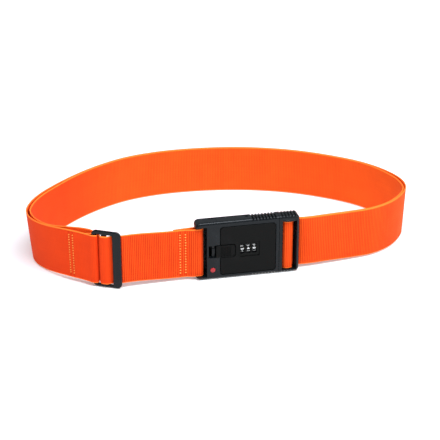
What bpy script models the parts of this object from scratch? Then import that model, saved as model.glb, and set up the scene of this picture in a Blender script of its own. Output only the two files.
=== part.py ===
"""Luggage strap with a three-wheel combination-lock buckle, standing on its edge as a closed loop.

Frame: metres, +Z up, +X along the buckle towards its tongue, buckle front facing -Y.
The origin is at the middle of the whole loop, on the surface that it stands on.
The buckle's own coordinates start at its left end (X), front face (Y) and lower edge (Z).
"""
import math

import bmesh
import bpy
from mathutils import Matrix, Vector

MM = 0.001
GAP = 0.3 * MM                      # clearance kept between touching pieces

# ---- placing of the buckle in the loop -------------------------------------------------------
BUCKLE_X = -40.58 * MM               # left end of the lock housing
BUCKLE_Y = -105.55 * MM              # front face of the lock housing

# ---- lock housing ----------------------------------------------------------------------------
HOUSING_L = 80.3 * MM
HOUSING_T = 14.4 * MM
HOUSING_H = 58.6 * MM
EDGE_R = 2.7 * MM                   # rounding of the housing's long edges
CORNER_R = 5.2 * MM                 # rounding of its left corners, seen from the front
TONGUE_CORNER_R = 3.8 * MM          # the same at the tongue's end
MID_Z = 28.5 * MM                   # height of the wheel axis and of the slider
COVER_Y = 11.4 * MM                 # inner face of the rear cover
NOTCH_Z0, NOTCH_Z1 = 2.6 * MM, 54.0 * MM    # opening for the webbing between the two ears
REAR_R = 6.0 * MM                   # rounding of the rear left corner, seen from above
SLOT_X = 10.8 * MM                  # right edge of the housing's strap slot
BAR_X = 4.6 * MM
BAR_Y = 6.4 * MM
BAR_R = 2.2 * MM
WALL = 3.1 * MM                     # front wall
CAVITY_X0 = 12.6 * MM
CAVITY_Z0, CAVITY_Z1 = 4.0 * MM, 53.6 * MM
BOSS_R = 2.5 * MM
SCREW_PLACES = tuple((x * MM, z * MM) for x, z in ((15.2, 50.9), (26.5, 6.7), (75.2, 50.9), (75.2, 6.7)))

# ---- grip ridges on the upper and lower edges ------------------------------------------------
RIDGE_PITCH = 3.1 * MM
GROOVE_W = 1.6 * MM
GROOVE_D = 1.3 * MM
HOUSING_RIDGE_X = 54.6 * MM
HOUSING_RIDGES = 8
TONGUE_RIDGE_X = 82.8 * MM
TONGUE_RIDGES = 5

# ---- dial cover ------------------------------------------------------------------------------
COVER_X0, COVER_X1 = 23.6 * MM, 77.0 * MM
COVER_HALF_H = 24.4 * MM
COVER_T = 1.7 * MM
COVER_PROUD = 0.3 * MM
POCKET_X0, POCKET_X1 = 42.2 * MM, 61.6 * MM
POCKET_HALF_H = 7.7 * MM
POCKET_D = 0.9 * MM

# ---- combination wheels ----------------------------------------------------------------------
WHEEL_XS = tuple((44.9 + 5.8 * i) * MM for i in range(3))
WHEEL_Y = 6.1 * MM
WHEEL_R = 5.0 * MM
WHEEL_W = 4.0 * MM
WHEEL_BORE = 3.3 * MM
SLEEVE_R = 2.9 * MM
SLEEVE_BORE = 1.6 * MM
SLEEVE_L = 5.3 * MM
SPINDLE_R = 1.2 * MM
POST_X0, POST_X1 = 38.6 * MM, 62.2 * MM
POST_W = 2.4 * MM

# ---- slider and what it drives ---------------------------------------------------------------
SLIDER_X0, SLIDER_X1 = 19.4 * MM, 37.7 * MM
SLIDER_HALF_H = 6.0 * MM
SLIDER_TRAVEL = 6.5 * MM
RECESS_X0 = 12.3 * MM
RECESS_HALF_H = 6.3 * MM
RIB_X0, RIB_X1 = 15.4 * MM, 18.6 * MM
BOLT_TRAVEL = 2.4 * MM
BOLT_X = 69.0 * MM
BOLT_PIN_R = 0.7 * MM
BOLT_PIN_Z = 8.3 * MM               # above and below MID_Z

# ---- key cylinder and reset pin --------------------------------------------------------------
KEY_X, KEY_Y = 17.4 * MM, 6.8 * MM
RESET_X, RESET_Y = 50.4 * MM, 8.6 * MM

# ---- tongue ----------------------------------------------------------------------------------
TONGUE_X0, TONGUE_X1 = 80.7 * MM, 100.4 * MM
WINDOW_X0, WINDOW_X1 = 83.6 * MM, 97.6 * MM
WINDOW_Z0, WINDOW_Z1 = 2.3 * MM, 53.4 * MM
END_BAR_Y1 = 4.6 * MM
TONGUE_BAR_X = 88.9 * MM
TONGUE_BAR_Y = 6.0 * MM
TONGUE_BAR_R = 2.6 * MM
PRONG_X0 = 56.0 * MM
PRONG_Y0, PRONG_Y1 = 5.3 * MM, 9.6 * MM
PRONG_IN, PRONG_OUT = 11.4 * MM, 19.0 * MM      # distances from MID_Z

# ---- webbing ---------------------------------------------------------------------------------
WEB_T = 1.4 * MM
WEB_W = 49.0 * MM
LAYER = WEB_T + GAP                 # from the middle of one layer to the middle of the next
LIFT_LEFT, LIFT_RIGHT = 3.5 * MM, 2.8 * MM      # webbing's lower edge at the tri-glide and at the tongue
LEAN_LEFT, LEAN_RIGHT = 2.1 * MM, 1.1 * MM      # half of the outward lean of the loop's two ends
SPLIT_X = 33.0 * MM                 # where the CAD webbing is cut, at the back of the loop

# ---- tri-glide -------------------------------------------------------------------------------
GLIDE_X, GLIDE_Y = -83.0 * MM, 6.4 * MM
GLIDE_YAW = math.radians(-29.0)
GLIDE_H = 57.4 * MM
GLIDE_T = 3.0 * MM
GLIDE_RAIL = 2.9 * MM
LEFT_BAR = (-14.0 * MM, -10.4 * MM)
MIDDLE_BAR = (-6.2 * MM, 0.6 * MM)
RIGHT_BAR = (7.2 * MM, 14.0 * MM)

# ---- colours ---------------------------------------------------------------------------------
BLACK = ("black_plastic", (0.030, 0.031, 0.034), 0.42, 0.0)
PANEL_BLACK = ("cover_plastic", (0.026, 0.028, 0.031), 0.50, 0.0)
ORANGE = ("orange_webbing", (0.90, 0.12, 0.02), 0.85, 0.0)
STEEL = ("steel", (0.55, 0.56, 0.58), 0.35, 1.0)
ZINC = ("zinc", (0.48, 0.48, 0.50), 0.50, 1.0)
BRASS = ("brass", (0.72, 0.52, 0.25), 0.35, 1.0)
RED = ("red_marker", (0.62, 0.03, 0.04), 0.40, 0.0)

PARTS = None
CUTTERS = None


# ---- scene helpers ---------------------------------------------------------------------------
def clear_scene():
    for obj in list(bpy.data.objects):
        bpy.data.objects.remove(obj, do_unlink=True)


def new_collection(name):
    collection = bpy.data.collections.new(name)
    bpy.context.scene.collection.children.link(collection)
    return collection


def material(finish):
    name, colour, roughness, metallic = finish
    mat = bpy.data.materials.get(name)
    if mat is None:
        mat = bpy.data.materials.new(name)
        mat.use_nodes = True
        shader = mat.node_tree.nodes["Principled BSDF"]
        shader.inputs["Base Color"].default_value = (*colour, 1.0)
        shader.inputs["Roughness"].default_value = roughness
        shader.inputs["Metallic"].default_value = metallic
    return mat


def add_object(name, mesh, finish=None, origin=(0.0, 0.0, 0.0)):
    """A piece in the parts collection, or a hidden cutter when it has no finish."""
    obj = bpy.data.objects.new(name, mesh)
    obj.location = origin
    if finish is None:
        CUTTERS.objects.link(obj)
        obj.hide_render = True
        obj.display_type = "WIRE"
    else:
        PARTS.objects.link(obj)
        mesh.materials.append(material(finish))
    return obj


def mesh_of(name, bm):
    mesh = bpy.data.meshes.new(name)
    bmesh.ops.recalc_face_normals(bm, faces=bm.faces)
    bm.to_mesh(mesh)
    bm.free()
    return mesh


def box_into(bm, x0, x1, y0, y1, z0, z1):
    size = Vector((x1 - x0, y1 - y0, z1 - z0))
    centre = Vector((x0 + x1, y0 + y1, z0 + z1)) / 2
    matrix = Matrix.Translation(centre) @ Matrix.Diagonal((*size, 1.0))
    bmesh.ops.create_cube(bm, size=1.0, matrix=matrix)


def local(x, y, z, origin):
    """Buckle coordinates to the coordinates of an object that stands at origin."""
    return (BUCKLE_X + x - origin[0], BUCKLE_Y + y - origin[1], z - origin[2])


def boxes(name, finish, spans, origin=(0.0, 0.0, 0.0)):
    """One mesh of boxes given by their spans in buckle coordinates."""
    bm = bmesh.new()
    for x0, x1, y0, y1, z0, z1 in spans:
        low = local(x0, y0, z0, origin)
        high = local(x1, y1, z1, origin)
        box_into(bm, low[0], high[0], low[1], high[1], low[2], high[2])
    return add_object(name, mesh_of(name, bm), finish, origin)


AXIS_TURN = {
    "X": Matrix.Rotation(math.radians(90.0), 4, "Y"),
    "Y": Matrix.Rotation(math.radians(-90.0), 4, "X"),
    "Z": Matrix.Identity(4),
}


def cylinder(name, finish, axis, radius, centre, length, sides=20, origin=(0.0, 0.0, 0.0)):
    """A cylinder along a world axis, centred on a point in buckle coordinates."""
    bm = bmesh.new()
    place = Matrix.Translation(local(*centre, origin)) @ AXIS_TURN[axis]
    bmesh.ops.create_cone(bm, cap_ends=True, segments=sides, radius1=radius, radius2=radius,
                          depth=length, matrix=place)
    mesh = mesh_of(name, bm)
    mesh.shade_smooth()
    mesh.set_sharp_from_angle(angle=math.radians(35.0))
    return add_object(name, mesh, finish, origin)


def bevel(obj, width, segments=2, angle=40.0):
    mod = obj.modifiers.new("round edges", "BEVEL")
    mod.width = width
    mod.segments = segments
    mod.limit_method = "ANGLE"
    mod.angle_limit = math.radians(angle)
    mod.use_clamp_overlap = False
    return obj


def boolean(obj, other, operation):
    mod = obj.modifiers.new(other.name, "BOOLEAN")
    mod.operation = operation
    mod.object = other
    mod.solver = "EXACT"
    return obj


def cut(obj, *cutters):
    for cutter in cutters:
        boolean(obj, cutter, "DIFFERENCE")
    return obj


def join(obj, *others):
    for other in others:
        boolean(obj, other, "UNION")
    return obj


def outline_plate(name, finish, points, y0, y1):
    """A plate cut to an outline of X and Z points, as thick as y0 to y1, in buckle coordinates."""
    curve = bpy.data.curves.new(name, "CURVE")
    curve.dimensions = "2D"
    curve.fill_mode = "BOTH"
    curve.extrude = (y1 - y0) / 2
    spline = curve.splines.new("POLY")
    spline.points.add(len(points) - 1)
    spline.use_cyclic_u = True
    for point, (x, z) in zip(spline.points, points):
        point.co = (BUCKLE_X + x, z, 0.0, 1.0)
    turn = Matrix.Translation((0.0, BUCKLE_Y + (y0 + y1) / 2, 0.0)) @ Matrix.Rotation(math.radians(90.0), 4, "X")
    return curve_to_piece(name, curve, turn, finish)


def curve_to_piece(name, curve, matrix, finish):
    """Turns a curve into a mesh piece whose points are in world coordinates."""
    guide = bpy.data.objects.new(name + "_curve", curve)
    bpy.context.scene.collection.objects.link(guide)
    guide.matrix_world = matrix
    bpy.context.view_layer.update()
    depsgraph = bpy.context.evaluated_depsgraph_get()
    mesh = bpy.data.meshes.new_from_object(guide.evaluated_get(depsgraph))
    mesh.transform(matrix)
    bpy.data.objects.remove(guide, do_unlink=True)
    bm = bmesh.new()
    bm.from_mesh(mesh)
    bmesh.ops.remove_doubles(bm, verts=bm.verts, dist=0.01 * MM)
    bmesh.ops.recalc_face_normals(bm, faces=bm.faces)
    bm.to_mesh(mesh)
    bm.free()
    mesh.name = name
    mesh.materials.clear()
    return add_object(name, mesh, finish)


def rounded_outline(x0, x1, z0, z1, radius, steps=4):
    """Corner arcs of a rectangle in X and Z, counter-clockwise."""
    points = []
    corners = ((x1 - radius, z1 - radius, 0), (x0 + radius, z1 - radius, 90),
               (x0 + radius, z0 + radius, 180), (x1 - radius, z0 + radius, 270))
    for cx, cz, start in corners:
        for i in range(steps + 1):
            angle = math.radians(start + 90.0 * i / steps)
            points.append((cx + radius * math.cos(angle), cz + radius * math.sin(angle)))
    return points


def coil(name, centre, axis, radius, wire, turns, length):
    """A compression spring along a world axis, centred on a point in buckle coordinates."""
    steps = 8
    curve = bpy.data.curves.new(name, "CURVE")
    curve.dimensions = "3D"
    curve.bevel_depth = wire / 2
    curve.bevel_resolution = 1
    curve.use_fill_caps = True
    spline = curve.splines.new("POLY")
    count = turns * steps + 1
    spline.points.add(count - 1)
    for i, point in enumerate(spline.points):
        angle = 2 * math.pi * i / steps
        along = length * (i / (count - 1) - 0.5)
        point.co = (radius * math.cos(angle), radius * math.sin(angle), along, 1.0)
    place = Matrix.Translation((BUCKLE_X + centre[0], BUCKLE_Y + centre[1], centre[2])) @ AXIS_TURN[axis]
    return curve_to_piece(name, curve, place, STEEL)


# ---- lock housing ----------------------------------------------------------------------------
def envelope(name, x0, x1, overrun_left, overrun_right, corner):
    """The buckle's rounded outer block; an overrun leaves that end square after trimming."""
    corners = rounded_outline(x0 - overrun_left, x1 + overrun_right, 0.0, HOUSING_H, corner, 3)
    return bevel(outline_plate(name, None, corners, 0.0, HOUSING_T), EDGE_R, segments=3)


def ridge_grooves(name, first_x, count):
    spans = []
    for i in range(count):
        x = first_x + RIDGE_PITCH * i
        for z0, z1 in ((-2 * MM, GROOVE_D), (HOUSING_H - GROOVE_D, HOUSING_H + 2 * MM)):
            spans.append((x, x + GROOVE_W, 0.7 * MM, HOUSING_T + 2 * MM, z0, z1))
    return boxes(name, None, spans)


def strap_notch():
    """Room for the webbing at the left end, between the two ears."""
    return boxes("cut_strap_notch", None,
                 [(-5 * MM, SLOT_X, -2 * MM, HOUSING_T + 2 * MM, NOTCH_Z0, NOTCH_Z1)])


def rear_corner():
    """What rounds the housing's left end off towards the rear."""
    corner = boxes("cut_rear_corner", None,
                   [(-2 * MM, REAR_R, HOUSING_T - REAR_R, HOUSING_T + 2 * MM, -2 * MM, HOUSING_H + 2 * MM)])
    rounding = cylinder("rear_rounding", None, "Z", REAR_R, (REAR_R, HOUSING_T - REAR_R, HOUSING_H / 2),
                        HOUSING_H + 8 * MM, 32)
    return cut(corner, rounding)


def housing_pieces():
    outer = envelope("outer_block", 0.0, HOUSING_L, 0.0, 12 * MM, CORNER_R)
    grooves = ridge_grooves("cut_housing_ridges", HOUSING_RIDGE_X, HOUSING_RIDGES)
    notch = strap_notch()
    corner = rear_corner()
    bar_seat = cylinder("cut_bar_seat", None, "Z", BAR_R + GAP, (BAR_X, BAR_Y, HOUSING_H / 2),
                        HOUSING_H - 2.6 * MM, 20)

    front = boxes("housing_front", BLACK, [(-1 * MM, HOUSING_L, -1 * MM, COVER_Y - GAP, -1 * MM, HOUSING_H + 1 * MM)])
    boolean(front, outer, "INTERSECT")
    cavity = boxes("cut_cavity", None, [
        (CAVITY_X0, HOUSING_L - 2.4 * MM, WALL, COVER_Y + 2 * MM, CAVITY_Z0, CAVITY_Z1)])
    mouth = boxes("cut_mouth", None, [
        (HOUSING_L - 4 * MM, HOUSING_L + 2 * MM, PRONG_Y0 - 0.5 * MM, PRONG_Y1 + 0.5 * MM,
         MID_Z - PRONG_OUT - 0.5 * MM, MID_Z + PRONG_OUT + 0.5 * MM)])
    panel_seat = outline_plate("cut_panel_seat", None, rounded_outline(
        COVER_X0 - GAP, COVER_X1 + GAP, MID_Z - COVER_HALF_H - GAP, MID_Z + COVER_HALF_H + GAP, 3 * MM),
        -2 * MM, COVER_T - COVER_PROUD + GAP)
    ledge = 2.6 * MM
    opening = boxes("cut_panel_opening", None, [
        (COVER_X0 + ledge, COVER_X1 - ledge, -2 * MM, WALL + 1 * MM,
         MID_Z - COVER_HALF_H + ledge, MID_Z + COVER_HALF_H - ledge)])
    recess_a = boxes("cut_slider_recess", None, [
        (RECESS_X0, COVER_X0 + 1 * MM, -2 * MM, 1.9 * MM, MID_Z - RECESS_HALF_H, MID_Z + RECESS_HALF_H)])
    inset = 0.2 * MM
    recess_h = RECESS_HALF_H - inset
    recess_b = boxes("cut_slider_slots", None, [
        (RECESS_X0 + inset, RIB_X0, 1 * MM, WALL + 1 * MM, MID_Z - recess_h, MID_Z + recess_h),
        (RIB_X1, COVER_X0 + 4 * MM, 1 * MM, WALL + 1 * MM, MID_Z - recess_h, MID_Z + recess_h)])
    cut(front, cavity, mouth, grooves, notch, corner, bar_seat, panel_seat, opening, recess_a, recess_b)
    for i, (x, z) in enumerate(SCREW_PLACES):
        boss = cylinder(f"boss_{i + 1}", None, "Y", BOSS_R, (x, (WALL - 0.5 * MM + COVER_Y - 0.6 * MM) / 2, z),
                        COVER_Y - 0.6 * MM - WALL + 0.5 * MM, 14)
        join(front, boss)
    for i, (x, z) in enumerate(SCREW_PLACES):
        hole = cylinder(f"cut_boss_hole_{i + 1}", None, "Y", 1.4 * MM, (x, 9 * MM, z), 9 * MM, 12)
        cut(front, hole)
    pin_hole = cylinder("cut_pinhole", None, "Z", 1.6 * MM, (RESET_X, RESET_Y, HOUSING_H), 12 * MM, 16)
    key_hole = cylinder("cut_key_hole", None, "Z", 3.8 * MM, (KEY_X, KEY_Y, 0.0), 12 * MM, 24)
    dot_seat = cylinder("cut_dot_seat", None, "Y", 2.7 * MM, (16.4 * MM, 0.0, 9.6 * MM), 1.4 * MM, 24)
    cut(front, pin_hole, key_hole, dot_seat)

    back = boxes("housing_back", BLACK, [
        (-1 * MM, HOUSING_L, COVER_Y, HOUSING_T + 1 * MM, -1 * MM, HOUSING_H + 1 * MM)])
    boolean(back, outer, "INTERSECT")
    cut(back, corner, grooves)
    for i, x in enumerate((POST_X0, POST_X1)):
        post = boxes(f"post_{i + 1}", None, [
            (x, x + POST_W, WHEEL_Y - 2.6 * MM, COVER_Y + 1 * MM, MID_Z - 3 * MM, MID_Z + 3 * MM)])
        join(back, post)
    shelf = boxes("reset_shelf", None, [
        (RESET_X - 3 * MM, RESET_X + 3 * MM, RESET_Y - 2.6 * MM, COVER_Y + 1 * MM, 41.0 * MM, 42.4 * MM)])
    seat = boxes("spring_seat", None, [
        (19.4 * MM, 21.0 * MM, 7.0 * MM, COVER_Y + 1 * MM, MID_Z - 2.5 * MM, MID_Z + 2.5 * MM)])
    join(back, shelf, seat)
    spindle_hole = cylinder("cut_spindle_hole", None, "X", SPINDLE_R + GAP, (52 * MM, WHEEL_Y, MID_Z), 34 * MM, 16)
    shelf_hole = cylinder("cut_shelf_hole", None, "Z", 1.2 * MM + GAP, (RESET_X, RESET_Y, 41.7 * MM), 5 * MM, 14)
    cut(back, spindle_hole, shelf_hole)
    for i, (x, z) in enumerate(SCREW_PLACES):
        head_seat = cylinder(f"cut_head_seat_{i + 1}", None, "Y", 2.6 * MM, (x, HOUSING_T + 0.2 * MM, z),
                             4.2 * MM, 20)
        shank_hole = cylinder(f"cut_shank_hole_{i + 1}", None, "Y", 1.4 * MM, (x, 12 * MM, z), 6 * MM, 12)
        cut(back, head_seat, shank_hole)

    cylinder("housing_strap_bar", STEEL, "Z", BAR_R, (BAR_X, BAR_Y, HOUSING_H / 2), HOUSING_H - 3.2 * MM, 20)


def case_screws():
    for i, (x, z) in enumerate(SCREW_PLACES):
        screw = cylinder(f"case_screw_{i + 1}", STEEL, "Y", 2.2 * MM,
                         (x, HOUSING_T - 0.9 * MM, z), 1.4 * MM, 20)
        shank = cylinder(f"shank_{i + 1}", None, "Y", 1.1 * MM, (x, 9.2 * MM, z), 8.6 * MM, 10)
        join(screw, shank)
        cross = boxes(f"cut_cross_{i + 1}", None, [
            (x - 1.3 * MM, x + 1.3 * MM, 13.5 * MM, 15 * MM, z - 0.3 * MM, z + 0.3 * MM)])
        cross_2 = boxes(f"cut_cross_b_{i + 1}", None, [
            (x - 0.3 * MM, x + 0.3 * MM, 13.5 * MM, 15 * MM, z - 1.3 * MM, z + 1.3 * MM)])
        cut(screw, cross, cross_2)


def dial_cover():
    cover = outline_plate("dial_cover", PANEL_BLACK, rounded_outline(
        COVER_X0, COVER_X1, MID_Z - COVER_HALF_H, MID_Z + COVER_HALF_H, 2.7 * MM),
        -COVER_PROUD, COVER_T - COVER_PROUD)
    bevel(cover, 0.3 * MM, segments=1)
    notch = outline_plate("cut_cover_notch", None, rounded_outline(
        COVER_X0 - 8 * MM, SLIDER_X1 + GAP, MID_Z - RECESS_HALF_H, MID_Z + RECESS_HALF_H, 2.2 * MM, 3),
        -3 * MM, 4 * MM)
    pocket = outline_plate("cut_dial_pocket", None, rounded_outline(
        POCKET_X0, POCKET_X1, MID_Z - POCKET_HALF_H, MID_Z + POCKET_HALF_H, 1.2 * MM, 2),
        -3 * MM, POCKET_D - COVER_PROUD)
    slots = boxes("cut_dial_slots", None, [
        (x - 2.3 * MM, x + 2.3 * MM, -3 * MM, 4 * MM, MID_Z - 4.8 * MM, MID_Z + 4.8 * MM) for x in WHEEL_XS])
    cut(cover, notch, pocket, slots)


def inspection_dot():
    cylinder("inspection_dot", RED, "Y", 2.4 * MM, (16.4 * MM, 0.1 * MM, 9.6 * MM), 0.6 * MM, 24)


# ---- combination wheels ----------------------------------------------------------------------
def wheel_pack():
    for i, x in enumerate(WHEEL_XS):
        origin = (BUCKLE_X + x, BUCKLE_Y + WHEEL_Y, MID_Z)
        wheel = cylinder(f"dial_wheel_{i + 1}", BLACK, "X", WHEEL_R, (x, WHEEL_Y, MID_Z), WHEEL_W, 40, origin)
        bevel(wheel, 0.25 * MM, segments=1)
        bore = cylinder(f"cut_wheel_bore_{i + 1}", None, "X", WHEEL_BORE, (x, WHEEL_Y, MID_Z), 8 * MM, 20, origin)
        cut(wheel, bore)
        sleeve = cylinder(f"code_sleeve_{i + 1}", BRASS, "X", SLEEVE_R, (x, WHEEL_Y, MID_Z), SLEEVE_L, 20, origin)
        inner = cylinder(f"cut_sleeve_bore_{i + 1}", None, "X", SLEEVE_BORE, (x, WHEEL_Y, MID_Z), 8 * MM, 16, origin)
        gate = boxes(f"cut_sleeve_gate_{i + 1}", None, [
            (x + 2.0 * MM, x + 4 * MM, WHEEL_Y - 0.7 * MM, WHEEL_Y + 0.7 * MM, MID_Z + 2.0 * MM, MID_Z + 4 * MM)],
            origin)
        cut(sleeve, inner, gate)

    spindle = cylinder("dial_spindle", STEEL, "X", SPINDLE_R, (51.6 * MM, WHEEL_Y, MID_Z), 28.4 * MM, 16)
    head = cylinder("spindle_head", None, "X", 2.0 * MM, (37.5 * MM, WHEEL_Y, MID_Z), 1.2 * MM, 16)
    join(spindle, head)
    clip = cylinder("spindle_clip", STEEL, "X", 2.4 * MM, (65.25 * MM, WHEEL_Y, MID_Z), 0.6 * MM, 18)
    clip_bore = cylinder("cut_clip_bore", None, "X", SPINDLE_R + 0.2 * MM, (65.25 * MM, WHEEL_Y, MID_Z), 3 * MM, 14)
    clip_gap = boxes("cut_clip_gap", None, [
        (64 * MM, 67 * MM, WHEEL_Y - 0.8 * MM, WHEEL_Y + 0.8 * MM, MID_Z - 4 * MM, MID_Z)])
    cut(clip, clip_bore, clip_gap)

    leaf = boxes("detent_spring", STEEL, [
        (41.6 * MM, 60.0 * MM, 7.4 * MM, 10.9 * MM, MID_Z - 7.0 * MM, MID_Z - 6.5 * MM)])
    for i, x in enumerate(WHEEL_XS):
        nose = cylinder(f"detent_nose_{i + 1}", None, "X", 0.6 * MM, (x, 8.6 * MM, MID_Z - 6.3 * MM), 2.6 * MM, 10)
        join(leaf, nose)


# ---- slider, yoke, bolts and fence -----------------------------------------------------------
def slider_and_yoke():
    origin = (BUCKLE_X + SLIDER_X0, BUCKLE_Y, MID_Z)
    thumb = outline_plate("release_slider", PANEL_BLACK, [
        (SLIDER_X0, MID_Z - SLIDER_HALF_H), (SLIDER_X1 - 2.4 * MM, MID_Z - SLIDER_HALF_H),
        (SLIDER_X1 - 0.7 * MM, MID_Z - SLIDER_HALF_H + 0.7 * MM), (SLIDER_X1, MID_Z - SLIDER_HALF_H + 2.4 * MM),
        (SLIDER_X1, MID_Z + SLIDER_HALF_H - 2.4 * MM), (SLIDER_X1 - 0.7 * MM, MID_Z + SLIDER_HALF_H - 0.7 * MM),
        (SLIDER_X1 - 2.4 * MM, MID_Z + SLIDER_HALF_H), (SLIDER_X0, MID_Z + SLIDER_HALF_H)],
        -1.3 * MM, 1.5 * MM)
    bevel(thumb, 0.5 * MM, segments=2)
    grips = boxes("cut_slider_grips", None, [
        (x * MM, (x + 0.9) * MM, -3 * MM, -0.8 * MM, MID_Z - 4.4 * MM, MID_Z + 4.4 * MM)
        for x in (23.6, 25.4, 27.2, 29.0, 30.8, 32.6)])
    cut(thumb, grips)
    stem = boxes("slider_stem", None, [(27 * MM, 36 * MM, 1.0 * MM, 4.0 * MM, MID_Z - 4 * MM, MID_Z + 4 * MM)])
    base = boxes("slider_base", None, [(21 * MM, 36.4 * MM, 3.5 * MM, 4.9 * MM, MID_Z - 10 * MM, MID_Z + 10 * MM)])
    join(thumb, stem, base)
    move_origin(thumb, origin)

    yoke_origin = (BUCKLE_X + 33 * MM, BUCKLE_Y + 6 * MM, MID_Z)
    y0, y1 = 5.2 * MM, 6.8 * MM
    yoke = boxes("lock_yoke", ZINC, [(30 * MM, 36.2 * MM, y0, y1, MID_Z - 9.9 * MM, MID_Z + 9.9 * MM)], yoke_origin)
    tab = boxes("spring_tab", None, [(30.2 * MM, 31.8 * MM, 6.0 * MM, 10.6 * MM, MID_Z - 2.5 * MM, MID_Z + 2.5 * MM)])
    join(yoke, tab)
    for side, word in ((1, "upper"), (-1, "lower")):
        arm_low, arm_high = sorted((MID_Z + side * 6.7 * MM, MID_Z + side * 9.7 * MM))
        arm = boxes(f"arm_{word}", None, [(34 * MM, 67.5 * MM, y0 + 0.1 * MM, y1 - 0.1 * MM, arm_low, arm_high)])
        pad_low, pad_high = sorted((MID_Z + side * 3.9 * MM, MID_Z + side * 9.9 * MM))
        pad = boxes(f"pad_{word}", None, [(66.2 * MM, 77.4 * MM, y0, y1, pad_low, pad_high)])
        join(yoke, arm, pad)
    for side, word in ((1, "upper"), (-1, "lower")):
        cut(yoke, slanted_slot(word, side, y0, y1))

    coil("slider_spring", (25.6 * MM, 8.9 * MM, MID_Z), "X", 1.3 * MM, 0.4 * MM, 4, 8.2 * MM)


def slanted_slot(word, side, y0, y1):
    """The slot that pulls a bolt in as the yoke slides left: from the bolt's pin, right and inwards."""
    start = Vector((BOLT_X, MID_Z + side * BOLT_PIN_Z))
    end = start + Vector((SLIDER_TRAVEL, -side * BOLT_TRAVEL))
    along = (end - start).normalized()
    across = Vector((-along.y, along.x))
    half = BOLT_PIN_R + GAP
    points = []
    for centre, first in ((end, -90.0), (start, 90.0)):
        for i in range(7):
            angle = math.radians(first + 30.0 * i)
            point = centre + half * (math.cos(angle) * along + math.sin(angle) * across)
            points.append((point.x, point.y))
    return outline_plate(f"cut_slanted_slot_{word}", None, points, y0 - 1 * MM, y1 + 1 * MM)


def latch_bolts():
    for side, word in ((1, "upper"), (-1, "lower")):
        low, high = sorted((MID_Z + side * 4.6 * MM, MID_Z + side * (PRONG_IN - GAP)))
        origin = (BUCKLE_X + BOLT_X, BUCKLE_Y + 8 * MM, MID_Z + side * BOLT_PIN_Z)
        bolt = boxes(f"latch_bolt_{word}", ZINC, [
            (BOLT_X - 2.2 * MM, BOLT_X + 2.2 * MM, 7.2 * MM, 9.2 * MM, low, high)], origin)
        bevel(bolt, 0.4 * MM, segments=1)
        pin = cylinder(f"bolt_pin_{word}", None, "Y", BOLT_PIN_R, (BOLT_X, 6.6 * MM, MID_Z + side * BOLT_PIN_Z),
                       2.6 * MM, 12)
        join(bolt, pin)
    coil("latch_spring", (BOLT_X, 8.2 * MM, MID_Z), "Z", 1.2 * MM, 0.4 * MM, 7, 8.2 * MM)


def fence():
    y0, y1 = 7.3 * MM, 9.0 * MM
    origin = (BUCKLE_X + 52 * MM, BUCKLE_Y + 8 * MM, MID_Z + 7 * MM)
    bar = boxes("fence_bar", ZINC, [(43 * MM, 60.4 * MM, y0, y1, MID_Z + 6.7 * MM, MID_Z + 8.9 * MM)], origin)
    for i, x in enumerate(WHEEL_XS):
        tooth = boxes(f"fence_tooth_{i + 1}", None, [
            (x + 2.45 * MM, x + 3.35 * MM, y0 + 0.2 * MM, y1 - 0.2 * MM, MID_Z + 4.0 * MM, MID_Z + 7.5 * MM)])
        join(bar, tooth)


# ---- override key cylinder and code-change pin ------------------------------------------------
def key_cylinder():
    top = 9.0 * MM
    origin = (BUCKLE_X + KEY_X, BUCKLE_Y + KEY_Y, 5 * MM)
    sleeve = cylinder("key_sleeve", ZINC, "Z", 3.5 * MM, (KEY_X, KEY_Y, (0.5 * MM + top) / 2), top - 0.5 * MM, 28)
    bore = cylinder("cut_key_bore", None, "Z", 2.6 * MM, (KEY_X, KEY_Y, 5 * MM), 16 * MM, 24)
    cut(sleeve, bore)
    plug = cylinder("key_plug", BRASS, "Z", 2.3 * MM, (KEY_X, KEY_Y, (0.6 * MM + 11 * MM) / 2), 10.4 * MM, 24, origin)
    keyway = boxes("cut_keyway", None, [
        (KEY_X - 0.45 * MM, KEY_X + 0.45 * MM, KEY_Y - 1.5 * MM, KEY_Y + 1.5 * MM, -1 * MM, 6.5 * MM)])
    cut(plug, keyway)
    cam = boxes("key_cam", ZINC, [
        (KEY_X - 1.6 * MM, KEY_X + 3.1 * MM, KEY_Y - 1.4 * MM, KEY_Y + 1.4 * MM, 11.3 * MM, 12.7 * MM)], origin)
    bevel(cam, 0.4 * MM, segments=1)


def reset_parts():
    origin = (BUCKLE_X + RESET_X, BUCKLE_Y + RESET_Y, 50 * MM)
    pin = cylinder("reset_pin", ZINC, "Z", 1.2 * MM, (RESET_X, RESET_Y, 48.4 * MM), 16.2 * MM, 16, origin)
    collar = cylinder("pin_collar", None, "Z", 2.1 * MM, (RESET_X, RESET_Y, 52.2 * MM), 1.2 * MM, 16)
    join(pin, collar)
    coil("reset_spring", (RESET_X, RESET_Y, 47.2 * MM), "Z", 1.75 * MM, 0.4 * MM, 6, 8.0 * MM)


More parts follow.
